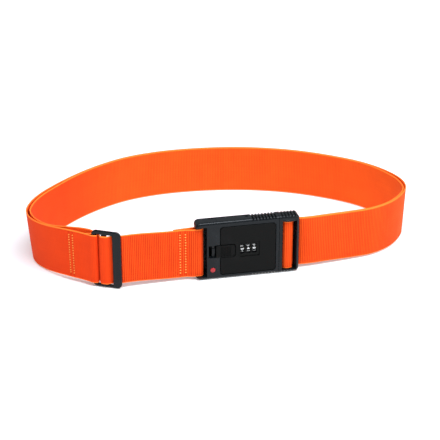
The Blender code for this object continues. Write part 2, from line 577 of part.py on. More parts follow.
# ---- tongue ----------------------------------------------------------------------------------
def tongue():
    outer = envelope("tongue_block", TONGUE_X0, TONGUE_X1, 12 * MM, 0.0, TONGUE_CORNER_R)
    grooves = ridge_grooves("cut_tongue_ridges", TONGUE_RIDGE_X, TONGUE_RIDGES)
    frame = boxes("tongue_frame", BLACK, [
        (TONGUE_X0, TONGUE_X1 + 1 * MM, -1 * MM, HOUSING_T + 1 * MM, -1 * MM, HOUSING_H + 1 * MM)])
    boolean(frame, outer, "INTERSECT")
    window = outline_plate("cut_tongue_window", None, window_outline(), -2 * MM, HOUSING_T + 2 * MM)
    exit_cut = boxes("cut_strap_exit", None, [
        (WINDOW_X1 - 1 * MM, TONGUE_X1 + 2 * MM, END_BAR_Y1, HOUSING_T + 2 * MM,
         WINDOW_Z0 + GAP, WINDOW_Z1 - GAP)])
    bar_seat = cylinder("cut_tongue_bar_seat", None, "Z", TONGUE_BAR_R + GAP, (TONGUE_BAR_X, TONGUE_BAR_Y, HOUSING_H / 2),
                        HOUSING_H - 3.2 * MM, 20)
    cut(frame, grooves, window, exit_cut)
    for side, word in ((1, "upper"), (-1, "lower")):
        low, high = sorted((MID_Z + side * PRONG_IN, MID_Z + side * PRONG_OUT))
        prong = boxes(f"prong_{word}", None, [
            (PRONG_X0, TONGUE_X0 + 2 * MM, PRONG_Y0, PRONG_Y1, low, high)])
        bevel(prong, 0.8 * MM, segments=1)
        join(frame, prong)
    cut(frame, bar_seat)
    for side, word in ((1, "upper"), (-1, "lower")):
        low, high = sorted((MID_Z + side * (PRONG_IN - 1 * MM), MID_Z + side * (PRONG_IN + 2.6 * MM)))
        notch = boxes(f"cut_prong_notch_{word}", None, [
            (BOLT_X - 2.8 * MM, BOLT_X + 2.8 * MM, PRONG_Y0 - 1 * MM, PRONG_Y1 + 1 * MM, low, high)])
        cut(frame, notch)
    cylinder("tongue_strap_bar", STEEL, "Z", TONGUE_BAR_R, (TONGUE_BAR_X, TONGUE_BAR_Y, HOUSING_H / 2),
             HOUSING_H - 3.8 * MM, 20)


def window_outline():
    """The tongue's window: upright sides, and a top and bottom that bow into the opening."""
    steps = 8
    bow = 1.0 * MM
    points = []
    for i in range(steps + 1):
        t = i / steps
        points.append((WINDOW_X1 + (WINDOW_X0 - WINDOW_X1) * t, WINDOW_Z1 - bow * math.sin(math.pi * t)))
    for i in range(steps + 1):
        t = i / steps
        points.append((WINDOW_X0 + (WINDOW_X1 - WINDOW_X0) * t, WINDOW_Z0 + bow * 0.2 * math.sin(math.pi * t)))
    return points


# ---- webbing routes, as plan curves in buckle coordinates ------------------------------------
def arc(cx, cy, radius, start, end, count):
    """Points on a plan arc; angles in degrees, measured from +X towards +Y."""
    points = []
    for i in range(count):
        angle = math.radians(start + (end - start) * i / (count - 1))
        points.append(Vector((cx + radius * math.cos(angle), cy + radius * math.sin(angle))))
    return points


def from_glide(points):
    """Plan points in the tri-glide's own coordinates to buckle coordinates."""
    c, s = math.cos(GLIDE_YAW), math.sin(GLIDE_YAW)
    return [Vector((GLIDE_X + p.x * c - p.y * s, GLIDE_Y + p.x * s + p.y * c)) for p in points]


def smooth(points, spacing):
    """A Catmull-Rom curve through the points, read at about equal spacing, without its end points."""
    padded = [2 * points[0] - points[1], *points, 2 * points[-1] - points[-2]]
    fine = []
    for i in range(1, len(padded) - 2):
        p0, p1, p2, p3 = padded[i - 1:i + 3]
        for k in range(20):
            t = k / 20
            fine.append(0.5 * (2 * p1 + (p2 - p0) * t + (2 * p0 - 5 * p1 + 4 * p2 - p3) * t * t
                               + (3 * p1 - p0 - 3 * p2 + p3) * t ** 3))
    fine.append(points[-1])
    return resample(fine, spacing)


def resample(points, spacing):
    total = sum((b - a).length for a, b in zip(points, points[1:]))
    count = max(2, round(total / spacing))
    step = total / count
    result = [points[0]]
    travelled, target = 0.0, step
    for a, b in zip(points, points[1:]):
        length = (b - a).length
        while target <= travelled + length + 1e-9 and len(result) < count:
            result.append(a + (b - a) * ((target - travelled) / length))
            target += step
        travelled += length
    result.append(points[-1])
    return result


def offset_route(points, distance):
    """The route moved sideways, to its right where distance is positive; distance may vary."""
    moved = []
    for i, point in enumerate(points):
        before = points[max(i - 1, 0)]
        after = points[min(i + 1, len(points) - 1)]
        along = (after - before).normalized()
        moved.append(point + Vector((along.y, -along.x)) * distance(point))
    return moved


def ease(value, start, end):
    t = min(max((value - start) / (end - start), 0.0), 1.0)
    return t * t * (3.0 - 2.0 * t)


# The outer layer's way round the loop, from the tri-glide's left, back, right, to the tongue.
LOOP_POINTS = tuple(Vector((x * MM, y * MM)) for x, y in (
    (-106.0, 20.5), (-117.0, 30.0), (-127.5, 41.5), (-137.0, 54.5), (-144.5, 70.0), (-146.5, 87.0),
    (-141.5, 105.0), (-131.5, 123.5), (-115.0, 144.0), (-92.5, 165.5), (-65.0, 186.0), (-34.0, 202.0),
    (0.0, 210.0), (33.0, 211.6), (70.0, 208.2), (106.0, 199.6), (142.0, 184.5), (174.0, 163.8),
    (201.5, 139.0), (219.0, 113.0), (228.0, 87.5), (227.0, 66.0), (216.0, 46.5), (199.5, 30.0),
    (179.0, 19.0), (156.0, 14.0), (134.0, 10.8), (117.0, 8.4)))


def layer_gap(point):
    """How far the inner layer stands from the outer one: touching, and open at the loop's two ends."""
    left = ease(point.x, -100 * MM, -140 * MM) * ease(point.y, 45 * MM, 75 * MM) * (1 - ease(point.y, 90 * MM, 150 * MM))
    right = ease(point.x, 170 * MM, 215 * MM) * ease(point.y, 50 * MM, 80 * MM) * (1 - ease(point.y, 95 * MM, 140 * MM))
    return LAYER + 1.8 * MM * left + 2.2 * MM * right


def webbing_routes():
    """Plan routes of the three strips of webbing: left inner, left outer and right."""
    fold = 2.4 * MM
    hug = fold + LAYER
    outer = smooth(list(LOOP_POINTS), 7.5 * MM)
    inner = offset_route(outer, layer_gap)
    back = next(i for i, p in enumerate(outer) if p.x > SPLIT_X)

    def before_split(route):
        kept = [p for p in route[:back + 2] if p.x < SPLIT_X - 4 * MM]
        last = next(p for p in route[back - 3:] if p.x > SPLIT_X - 2 * MM)
        return kept + [Vector((SPLIT_X - GAP / 2, last.y))]

    def after_split(route):
        kept = [p for p in route[back - 3:] if p.x > SPLIT_X + 4 * MM or p.y < 150 * MM]
        first = next(p for p in route[back - 3:] if p.x > SPLIT_X - 2 * MM)
        return [Vector((SPLIT_X + GAP / 2, first.y))] + kept

    # Left inner strip: sewn tail behind, round the housing's bar, to the tri-glide, then round the loop.
    wrap = BAR_R + GAP + WEB_T / 2
    strip_y = 4.9 * MM
    tail_end = Vector((-20 * MM, strip_y + LAYER))
    left_inner = [tail_end, Vector((-12 * MM, strip_y + LAYER)), Vector((-6 * MM, strip_y + LAYER + 0.3 * MM)),
                  Vector((0.5 * MM, BAR_Y + wrap - 1.2 * MM))]
    left_inner += arc(BAR_X, BAR_Y, wrap, 100, -100, 14)
    left_inner += [Vector((0.5 * MM, BAR_Y - wrap + 0.5 * MM)), Vector((-4 * MM, strip_y - 1.0 * MM)),
                   Vector((-9 * MM, strip_y - 0.2 * MM)), Vector((-20 * MM, strip_y)), Vector((-35 * MM, 4.2 * MM)),
                   Vector((-50 * MM, 3.3 * MM)), Vector((-62 * MM, 2.4 * MM))]
    behind_right = [Vector((x * MM, 2.5 * MM)) for x in (14.0, 11.0)]
    left_inner += from_glide(behind_right)
    left_inner += from_glide(arc(8.4 * MM, 0.0, 2.5 * MM, 90, 146.3, 4))
    left_inner += from_glide(arc(-0.6 * MM, 0.0, 2.5 * MM, -33.7, -90, 4))
    left_inner += from_glide(arc(-5.0 * MM, 0.0, 2.5 * MM, -90, -180, 6))
    left_inner += from_glide(arc(-11.6 * MM, 0.0, hug, 6, 90, 6))
    left_inner += from_glide([Vector((-15.0 * MM, hug + 0.1 * MM)), Vector((-19.0 * MM, hug))])
    left_inner += before_split([p for p in inner if p.x < -112 * MM or p.y > 60 * MM])

    # Left outer strip: from the split, round the left end, over the tri-glide's left bar, tail behind it.
    left_outer = list(reversed(before_split(outer)))
    left_outer += from_glide([Vector((-19.0 * MM, -2.6 * MM)), Vector((-14.5 * MM, -fold))])
    left_outer += from_glide(arc(-11.6 * MM, 0.0, fold, -90, 90, 9))
    left_outer += from_glide([Vector((-15.0 * MM, fold)), Vector((-20.0 * MM, 1.4 * MM)), Vector((-24.0 * MM, 0.4 * MM))])

    # Right strip: one piece from the split round to the tongue's bar and back as the other layer.
    turn = TONGUE_BAR_R + GAP + WEB_T / 2
    right = after_split(outer)
    right += [Vector((108 * MM, 7.8 * MM)), Vector((101 * MM, 6.4 * MM))]
    right += [Vector((96.5 * MM, 5.8 * MM)), Vector((94.6 * MM, 4.2 * MM))]
    right += arc(TONGUE_BAR_X, TONGUE_BAR_Y, turn, -45, -290, 16)
    right += [Vector((96.0 * MM, 8.0 * MM)), Vector((101 * MM, 6.4 * MM + LAYER)), Vector((108 * MM, 7.8 * MM + LAYER))]
    right += list(reversed(after_split(inner)))
    return left_inner, left_outer, right


def lift_and_lean(x, y, z):
    """Raises the webbing near the buckle and tri-glide, and leans the loop's two ends."""
    lift = LIFT_RIGHT + (LIFT_LEFT - LIFT_RIGHT) * ease(x, 0.0, -90 * MM)
    ends = 1.0 - 0.7 * ease(x, 110 * MM, 205 * MM) - 0.8 * ease(x, -115 * MM, -146 * MM)
    raised = z + lift * ends * (1.0 - ease(y, 20 * MM, 105 * MM))
    height = 2.0 * z / WEB_W - 1.0
    left = ease(x, -105 * MM, -148 * MM)
    right = ease(x, 175 * MM, 227 * MM)
    return x + height * (LEAN_RIGHT * right - LEAN_LEFT * left), y, raised


def ribbon(name, route):
    """A strip of webbing standing on its edge along a plan route."""
    curve = bpy.data.curves.new(name, "CURVE")
    curve.dimensions = "2D"
    curve.extrude = WEB_W / 2
    spline = curve.splines.new("POLY")
    spline.points.add(len(route) - 1)
    for point, place in zip(spline.points, route):
        point.co = (place.x, place.y, 0.0, 1.0)
    strip = curve_to_piece(name, curve, Matrix.Translation((0.0, 0.0, WEB_W / 2 + 0.1 * MM)), ORANGE)
    for vertex in strip.data.vertices:
        x, y, z = lift_and_lean(*vertex.co)
        vertex.co = (BUCKLE_X + x, BUCKLE_Y + y, z)
    solid = strip.modifiers.new("webbing thickness", "SOLIDIFY")
    solid.thickness = WEB_T
    solid.offset = 0.0
    solid.use_even_offset = True
    return strip


def webbing():
    for name, route in zip(("strap_left_inner", "strap_left_outer", "strap_right"), webbing_routes()):
        ribbon(name, route)


# ---- tri-glide -------------------------------------------------------------------------------
def tri_glide():
    half = GLIDE_H / 2
    glide = outline_plate("tri_glide", BLACK, rounded_outline(
        LEFT_BAR[0], RIGHT_BAR[1], -half, half, 4.5 * MM), -GLIDE_T / 2, GLIDE_T / 2)
    glide.data.transform(Matrix.Translation((-BUCKLE_X, -BUCKLE_Y, 0.0)))
    glide.location = (BUCKLE_X + GLIDE_X, BUCKLE_Y + GLIDE_Y, half)
    glide.rotation_euler = (0.0, 0.0, GLIDE_YAW)
    for word, x0, x1 in (("left", LEFT_BAR[1], MIDDLE_BAR[0]), ("right", MIDDLE_BAR[1], RIGHT_BAR[0])):
        slot = glide_box(f"cut_glide_slot_{word}", None, x0, x1, -half + GLIDE_RAIL, half - GLIDE_RAIL, 4 * GLIDE_T)
        cut(glide, slot)
    bevel(glide, 1.1 * MM, segments=2, angle=60.0)


def glide_box(name, finish, x0, x1, z0, z1, depth):
    bm = bmesh.new()
    box_into(bm, x0, x1, -depth / 2, depth / 2, z0, z1)
    obj = add_object(name, mesh_of(name, bm), finish,
                     (BUCKLE_X + GLIDE_X, BUCKLE_Y + GLIDE_Y, GLIDE_H / 2))
    obj.rotation_euler = (0.0, 0.0, GLIDE_YAW)
    return obj


def move_origin(obj, origin):
    """Puts an object's origin on its joint axis without moving its shape."""
    obj.data.transform(Matrix.Translation([-c for c in origin]))
    obj.location = origin


def main():
    global PARTS, CUTTERS
    clear_scene()
    PARTS = new_collection("luggage_strap_lock")
    CUTTERS = new_collection("cutters")
    housing_pieces()
    case_screws()
    dial_cover()
    inspection_dot()
    wheel_pack()
    slider_and_yoke()
    latch_bolts()
    fence()
    key_cylinder()
    reset_parts()
    tongue()
    tri_glide()
    webbing()
    bpy.context.view_layer.update()


main()
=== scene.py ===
"""Looks of a luggage strap with a three-wheel combination-lock buckle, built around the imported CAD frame.

Metres, +Z up, the frame's own axes. "Buckle coordinates" are millimetres from the lock housing's left
end (X), front face (Y) and the surface that the strap stands on (Z), as in the CAD source.
"""
import math

import bmesh
import bpy
import numpy as np
from mathutils import Matrix, Vector


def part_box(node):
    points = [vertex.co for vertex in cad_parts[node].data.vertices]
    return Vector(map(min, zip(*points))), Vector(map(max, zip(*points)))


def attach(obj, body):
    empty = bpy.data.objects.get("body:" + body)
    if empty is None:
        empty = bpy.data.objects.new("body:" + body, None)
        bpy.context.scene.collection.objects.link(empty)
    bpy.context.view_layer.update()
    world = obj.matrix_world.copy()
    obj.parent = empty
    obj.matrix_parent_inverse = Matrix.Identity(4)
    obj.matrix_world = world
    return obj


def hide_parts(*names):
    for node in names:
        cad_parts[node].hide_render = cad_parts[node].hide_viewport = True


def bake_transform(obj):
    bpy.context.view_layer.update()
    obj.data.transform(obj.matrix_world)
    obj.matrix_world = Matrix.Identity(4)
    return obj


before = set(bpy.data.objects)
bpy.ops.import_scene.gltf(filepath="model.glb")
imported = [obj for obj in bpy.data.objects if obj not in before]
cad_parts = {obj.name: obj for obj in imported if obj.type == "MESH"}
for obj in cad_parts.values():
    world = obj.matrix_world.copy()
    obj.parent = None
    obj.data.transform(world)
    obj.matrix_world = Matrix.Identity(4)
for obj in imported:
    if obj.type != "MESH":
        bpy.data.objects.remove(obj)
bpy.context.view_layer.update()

MM = 0.001

# ---- where the buckle stands, read from the frame --------------------------------------------
WHEEL_1_X = 44.9                    # first wheel's middle, from the housing's left end
WHEELS = [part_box(f"dial_wheel_{i}") for i in (1, 2, 3)]
BUCKLE_X = (WHEELS[0][0].x + WHEELS[0][1].x) / 2 - WHEEL_1_X * MM
BUCKLE_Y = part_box("tongue_frame")[0].y
WHEEL_R = (WHEELS[0][1].z - WHEELS[0][0].z) / 2

# ---- webbing, in millimetres -----------------------------------------------------------------
WEB_W = 49.0
WEB_T = 1.4                         # nominal: the CAD's thickness, and what the bars leave room for
LAYER = 1.7                         # from the middle of one layer to the middle of the next
BASE_Z = 0.1                        # the lower edge's height where the webbing isn't raised
LIFT_LEFT, LIFT_RIGHT = 3.5, 2.8    # the webbing's lower edge at the tri-glide and at the tongue
LEAN_LEFT, LEAN_RIGHT = 2.1, 1.1    # half of the outward lean of the loop's two ends
YARN_PITCH = 0.7
RIB_PITCH = 1.75
STATIONS_PER_RIB = 4
STATION_GAP = RIB_PITCH / STATIONS_PER_RIB
RIB_H = 0.21
BACK_X0, BACK_X1 = -95.0, 105.0     # the back arc between these follows both halves of the buckle
FRONT_Y = 60.0                      # the front of the loop, with buckle and tri-glide, is nearer than this

BAR_X, BAR_Y, BAR_R = 4.6, 6.4, 2.2                 # the housing's strap bar
TONGUE_BAR_X, TONGUE_BAR_Y, TONGUE_BAR_R = 88.9, 6.0, 2.6
GLIDE_X, GLIDE_Y, GLIDE_YAW = -83.0, 6.4, math.radians(-29.0)
BAR_GAP = 0.3                       # clearance round both strap bars

# ---- stitching, in millimetres ---------------------------------------------------------------
HOUSING_STITCH, GLIDE_STITCH = 2.8, 2.6         # from stitch to stitch
STITCH_R, STITCH_HALF_L = 0.46, 0.74
STITCH_SUNK = 0.12                  # how far a stitch's middle lies under the nominal face
HOUSING_SEAMS = (-13.8, -8.9)       # X of the stitched rows of the tail at the housing
GLIDE_SEAMS = (-114.2, -111.4)      # X of the stitched rows of the tail at the tri-glide

# ---- buckle and tri-glide, in millimetres ----------------------------------------------------
HOUSING_L, HOUSING_T, HOUSING_H = 80.3, 14.4, 58.6
EDGE_R, CORNER_R, TONGUE_CORNER_R, REAR_R = 2.7, 5.2, 3.8, 6.0
MID_Z = 28.5                        # height of the wheels' axis and of the slider
COVER_Y, COVER_JOINT = 11.4, 0.3    # front of the rear cover, and the joint before it
SLOT_X, NOTCH_Z0, NOTCH_Z1 = 10.8, 2.6, 54.0        # the opening between the two ears
SEAT_Y, FLOOR_Y = 1.7, 4.1          # depth of the seats in the front face, and just behind the front wall
COVER_X0, COVER_X1, COVER_HALF_H = 23.6, 77.0, 24.4
PANEL_SEAT_GAP, PANEL_INSET = 0.5, 0.25
SLIDER_X0, SLIDER_X1, SLIDER_HALF_H, SLIDER_CORNER_R = 19.4, 37.7, 6.0, 2.6
RECESS_X0, RECESS_HALF_H, RIB_X0, RIB_X1 = 12.3, 6.3, 15.8, 18.4
RIDGE_PITCH, GROOVE_W, GROOVE_Y0 = 3.1, 1.8, -1.0
HOUSING_RIDGE_X, HOUSING_RIDGES, HOUSING_GROOVE_D = 54.45, 8, 2.3
TONGUE_RIDGE_X, TONGUE_RIDGES, TONGUE_GROOVE_D = 82.65, 5, 1.75
TONGUE_X0, TONGUE_X1 = 80.7, 100.4
WINDOW_X0, WINDOW_X1, WINDOW_W = 83.6, 97.6, 14.0
PRONG_REACH, PRONG_H, PRONG_X0 = 19.0, 7.6, 56.0    # outer edges from MID_Z, height, and left end
WHEEL_XS, WHEEL_Y, WHEEL_RADIUS = (WHEEL_1_X, 50.7, 56.5), 6.1, 5.0
WHEEL_W, WHEEL_BORE_R = 4.0, 3.3
RESET_X, RESET_Y, PINHOLE_R = 50.4, 8.6, 1.6
KEY_X, KEY_Y = 17.4, 6.8
DOT_X, DOT_Z, DOT_R = 16.4, 9.6, 2.4
SCREW_PLACES = ((15.2, 50.9), (26.5, 6.7), (75.2, 50.9), (75.2, 6.7))
BOSS_R, SCREW_BORE_R, SCREW_HEAD_R = 2.5, 1.4, 2.6
KEY_BORE_R, POST_BORE_R = 3.8, 1.5
GLIDE_H, GLIDE_T, GLIDE_X0, GLIDE_X1 = 57.4, 3.0, -14.0, 14.6
GLIDE_SLOTS = ((-9.8, -4.6), (0.6, 6.2))
GLIDE_RAIL_LOW, GLIDE_RAIL_TOP, GLIDE_CORNER_R, GLIDE_EDGE_R = 2.9, 4.0, 4.5, 1.1

# ---- camera ----------------------------------------------------------------------------------
CAMERA_FROM_BUCKLE = Vector((-0.2304, -1.1535, 0.0))
CAMERA_Z = 0.6017
CAMERA_DOWN, CAMERA_RIGHT = 24.6, 12.4              # degrees
FOCAL_PX, FRAME_PX, SENSOR_MM = 1400.0, 440.0, 36.0


# ---- small helpers ---------------------------------------------------------------------------
def add_object(name, mesh):
    obj = bpy.data.objects.new(name, mesh)
    bpy.context.scene.collection.objects.link(obj)
    return obj


def mesh_of(name, bm):
    mesh = bpy.data.meshes.new(name)
    bm.to_mesh(mesh)
    bm.free()
    return mesh


def to_world(x, y, z):
    """Buckle coordinates in millimetres to the frame's axes in metres."""
    return Vector((BUCKLE_X + x * MM, BUCKLE_Y + y * MM, z * MM))


def ease(value, start, end):
    """0 up to start, 1 from end on, and a smooth step between them."""
    t = min(max((value - start) / (end - start), 0.0), 1.0)
    return t * t * (3.0 - 2.0 * t)


def sweep(cx, cy, radius, start, end, steps):
    """Pairs on an arc, from start to end in degrees, both included."""
    angles = [math.radians(start + (end - start) * i / steps) for i in range(steps + 1)]
    return [(cx + radius * math.cos(a), cy + radius * math.sin(a)) for a in angles]


def circle(cx, cy, radius, steps):
    return sweep(cx, cy, radius, 0.0, 360.0, steps)[:-1]


def smooth_shade(mesh, degrees):
    mesh.shade_smooth()
    mesh.set_sharp_from_angle(angle=math.radians(degrees))


# ---- materials -------------------------------------------------------------------------------
class Nodes:
    """A material's node tree, with short calls for the nodes used here."""

    def __init__(self, name, colour, roughness, metallic=0.0):
        self.material = bpy.data.materials.new(name)
        self.material.use_nodes = True
        self.tree = self.material.node_tree
        self.shader = self.tree.nodes["Principled BSDF"]
        self.shader.inputs["Base Color"].default_value = (*colour, 1.0)
        self.shader.inputs["Roughness"].default_value = roughness
        self.shader.inputs["Metallic"].default_value = metallic

    def node(self, kind, **settings):
        made = self.tree.nodes.new(kind)
        for key, value in settings.items():
            setattr(made, key, value)
        return made

    def join(self, source, target):
        self.tree.links.new(source, target)

    def feed(self, target, value):
        if isinstance(value, (int, float)):
            target.default_value = value
        else:
            self.join(value, target)

    def math(self, operation, a, b=0.0, c=0.0):
        made = self.node("ShaderNodeMath", operation=operation)
        for socket, value in zip(made.inputs, (a, b, c)):
            self.feed(socket, value)
        return made.outputs[0]

    def mix(self, factor, a, b):
        """From a to b, each a colour or a socket."""
        made = self.node("ShaderNodeMix", data_type="RGBA")
        self.feed(made.inputs["Factor"], factor)
        for socket, value in ((made.inputs[6], a), (made.inputs[7], b)):
            if isinstance(value, tuple):
                socket.default_value = (*value, 1.0)
            else:
                self.join(value, socket)
        return made.outputs[2]

    def position(self):
        return self.node("ShaderNodeTexCoord").outputs["Object"]

    def noise(self, scale, detail=2.0, roughness=0.5, place=None):
        made = self.node("ShaderNodeTexNoise")
        made.inputs["Scale"].default_value = scale
        made.inputs["Detail"].default_value = detail
        made.inputs["Roughness"].default_value = roughness
        self.join(place or self.position(), made.inputs["Vector"])
        return made.outputs["Fac"]

    def spread(self, value, low, high, to_low=0.0, to_high=1.0):
        made = self.node("ShaderNodeMapRange")
        self.join(value, made.inputs["Value"])
        for key, number in (("From Min", low), ("From Max", high), ("To Min", to_low), ("To Max", to_high)):
            made.inputs[key].default_value = number
        return made.outputs["Result"]

    def bump(self, height, depth, strength=1.0, edge=0.0):
        """Fine relief, over edges softened by the radius given."""
        made = self.node("ShaderNodeBump")
        if edge:
            soft = self.node("ShaderNodeBevel", samples=4)
            soft.inputs["Radius"].default_value = edge
            self.join(soft.outputs["Normal"], made.inputs["Normal"])
        made.inputs["Strength"].default_value = strength
        made.inputs["Distance"].default_value = depth
        self.join(height, made.inputs["Height"])
        self.join(made.outputs["Normal"], self.shader.inputs["Normal"])

    def colour(self, value):
        self.join(value, self.shader.inputs["Base Color"])

    def attribute(self, name):
        return self.node("ShaderNodeAttribute", attribute_name=name).outputs["Fac"]


def webbing_material():
    """Orange polyester webbing: cross ribs, fine warp yarns, streaks and paler selvedges (partly a painted
    highlight), with painted shade in the rib hollows, along the seams, on the left end and in the tri-glide's folds,
    and painted reflected light where the ribs are faint.
    """
    n = Nodes("webbing_orange", (0.92, 0.09, 0.007), 0.80)
    along, across, strength = n.attribute("along"), n.attribute("across"), n.attribute("ribs")
    turns = n.math("DIVIDE", along, RIB_PITCH)
    hollow = n.math("MULTIPLY_ADD", n.math("COSINE", n.math("MULTIPLY", turns, 2 * math.pi)), -0.5, 0.5)
    rib = n.math("SUBTRACT", 1.0, n.math("MULTIPLY", hollow, strength))
    rib_number = n.math("FLOOR", n.math("ADD", turns, 0.5))
    uneven = n.node("ShaderNodeTexWhiteNoise", noise_dimensions="1D")
    n.join(rib_number, uneven.inputs["W"])
    yarn = n.math("SINE", n.math("MULTIPLY_ADD", rib_number, math.pi,
                                 n.math("MULTIPLY", across, 2 * math.pi / YARN_PITCH)))
    yarn_height = n.math("MULTIPLY_ADD", yarn, 0.5, 0.5)
    along_across = n.node("ShaderNodeCombineXYZ")
    n.join(n.math("MULTIPLY", along, 0.018), along_across.inputs["X"])
    n.join(n.math("MULTIPLY", across, 0.9), along_across.inputs["Y"])
    streak = n.spread(n.noise(1.0, 3.0, place=along_across.outputs["Vector"]), 0.3, 0.7)
    from_edge = n.math("SUBTRACT", WEB_W / 2, n.math("ABSOLUTE", n.math("SUBTRACT", across, WEB_W / 2)))
    # the selvedges are coloured paler: partly their own edge threads, partly a painted highlight where their rounded
    # edges catch the light
    edge = n.spread(from_edge, 1.2, 0.7)
    dirt = n.math("MULTIPLY_ADD", streak, 0.5, n.math("MULTIPLY", n.spread(n.noise(55.0, 4.0), 0.35, 0.65), 0.5))
    # painted shade: the groove colour fills the rib hollows and, a little, the valleys between warp yarns, for the
    # shade in them; the ribs are also modelled, the yarns bumped
    groove = n.mix(dirt, (0.50, 0.016, 0.0014), (0.56, 0.022, 0.0018))
    # painted light: the paler plain colour, where the ribs are faint, stands in for light reflected inside the loop;
    # the ribbed colour is darker for the ribs' averaged shade
    plain = n.mix(dirt, (0.91, 0.104, 0.0090), (0.96, 0.124, 0.0108))
    ribbed = n.mix(dirt, (0.89, 0.088, 0.0060), (0.94, 0.103, 0.0074))
    # painted shade: a darker, redder colour for where less light falls, on the left end and in the tri-glide's folds
    painted_dark = n.mix(dirt, (0.80, 0.050, 0.0036), (0.86, 0.060, 0.0046))
    crown = n.mix(n.attribute("painted_shade"), n.mix(strength, plain, ribbed), painted_dark)
    # painted shade: along the stitched rows the colour goes towards the groove colour, for the shade between the
    # stitches
    crown = n.mix(n.math("MULTIPLY", n.attribute("seam"), 0.4), crown, groove)
    fade = n.math("MULTIPLY", n.math("MULTIPLY", uneven.outputs["Value"], strength), 0.14)
    level = n.math("SUBTRACT", n.math("MULTIPLY_ADD", yarn_height, 0.15, n.math("MULTIPLY", rib, 0.85)), fade)
    n.colour(n.mix(edge, n.mix(level, groove, crown), (1.0, 0.19, 0.024)))
    n.bump(n.math("MULTIPLY", yarn_height, n.math("SUBTRACT", 1.0, n.math("MULTIPLY", edge, 0.6))), 0.00008, 0.8)
    n.shader.inputs["Sheen Weight"].default_value = 0.06
    n.shader.inputs["Sheen Roughness"].default_value = 0.4
    n.shader.inputs["Sheen Tint"].default_value = (1.0, 0.45, 0.2, 1.0)
    n.shader.inputs["Specular IOR Level"].default_value = 0.12
    return n.material


def thread_material():
    """Paler orange sewing thread with a diagonal twist."""
    n = Nodes("stitching_thread", (0.95, 0.38, 0.06), 0.60)
    twist = n.node("ShaderNodeTexWave", wave_type="BANDS", bands_direction="DIAGONAL")
    twist.inputs["Scale"].default_value = 900.0
    n.join(n.position(), twist.inputs["Vector"])
    n.colour(n.mix(twist.outputs["Fac"], (0.95, 0.36, 0.055), (1.0, 0.50, 0.11)))
    n.bump(twist.outputs["Fac"], 0.00006, 0.7)
    n.shader.inputs["Specular IOR Level"].default_value = 0.15
    return n.material


SHADER_EDGE_R = 0.00018             # metres; the radius that plastic edges are shaded with


def plastic_material(name, colour, roughness, grain_depth, worn, specular):
    """Moulded plastic: a fine grain, patches of slightly different gloss, and edges rubbed a little paler."""
    n = Nodes(name, colour, roughness)
    patches = n.noise(90.0, 3.0)
    grain = n.noise(5200.0, 2.0, 0.6)
    worn_edge = n.spread(n.node("ShaderNodeNewGeometry").outputs["Pointiness"], 0.53, 0.62)
    scuffed = n.math("MULTIPLY", worn_edge, n.spread(n.noise(420.0, 3.0), 0.35, 0.7))
    n.shader.inputs["Specular IOR Level"].default_value = specular
    tone = n.mix(patches, tuple(c * 0.85 for c in colour), tuple(c * 1.2 for c in colour))
    n.colour(n.mix(scuffed, tone, worn))
    n.join(n.spread(patches, 0.3, 0.7, roughness - 0.05, roughness + 0.06), n.shader.inputs["Roughness"])
    n.bump(grain, grain_depth, 0.5, SHADER_EDGE_R)
    return n.material


def metal_material(name, colour, roughness, brushed):
    """Metal with fine turning or brushing marks and cloudy gloss."""
    n = Nodes(name, colour, roughness, 1.0)
    stretch = n.node("ShaderNodeMapping")
    stretch.inputs["Scale"].default_value = (1.0, 1.0, 0.06) if brushed else (1.0, 1.0, 1.0)
    n.join(n.position(), stretch.inputs["Vector"])
    streaks = n.noise(900.0, place=stretch.outputs["Vector"])
    n.colour(n.mix(n.noise(160.0, 3.0), tuple(c * 0.86 for c in colour), colour))
    n.join(n.spread(streaks, 0.3, 0.7, roughness - 0.08, roughness + 0.1), n.shader.inputs["Roughness"])
    n.bump(streaks, 0.00003, 0.4)
    return n.material


def paint_material(name, colour, roughness):
    """Printed or moulded colour, slightly uneven."""
    n = Nodes(name, colour, roughness)
    n.colour(n.mix(n.noise(1500.0, 3.0), tuple(c * 0.9 for c in colour), colour))
    n.bump(n.noise(2600.0), 0.00002, 0.4)
    return n.material


MATERIALS = {
    "webbing": webbing_material(),
    "thread": thread_material(),
    "black_plastic": plastic_material("housing_plastic", (0.0036, 0.0050, 0.0062), 0.24, 0.000004,
                                      (0.014, 0.016, 0.018), 0.20),
    "cover_plastic": plastic_material("cover_plastic", (0.0036, 0.0036, 0.0032), 0.34, 0.000006,
                                      (0.011, 0.011, 0.011), 0.08),
    "wheel_plastic": plastic_material("wheel_plastic", (0.0030, 0.0031, 0.0033), 0.34, 0.000005,
                                      (0.008, 0.008, 0.009), 0.14),
    "steel": metal_material("zinc_plated_steel", (0.56, 0.57, 0.59), 0.34, True),
    "zinc": metal_material("die_cast_zinc", (0.47, 0.47, 0.49), 0.48, False),
    "brass": metal_material("turned_brass", (0.73, 0.53, 0.26), 0.33, False),
    "numeral": paint_material("numeral_white", (0.86, 0.86, 0.84), 0.45),
    "red_marker": paint_material("marker_red", (0.38, 0.006, 0.012), 0.35),
}


# ---- the strap's way round, as one plan curve in buckle coordinates ---------------------------
def arc(cx, cy, radius, start, end, count):
    """Points on a plan arc; angles in degrees, measured from +X towards +Y."""
    return [Vector(point) for point in sweep(cx, cy, radius, start, end, count - 1)]


def from_glide(points):
    """Plan points in the tri-glide's own coordinates to buckle coordinates."""
    c, s = math.cos(GLIDE_YAW), math.sin(GLIDE_YAW)
    return [Vector((GLIDE_X + p.x * c - p.y * s, GLIDE_Y + p.x * s + p.y * c)) for p in points]


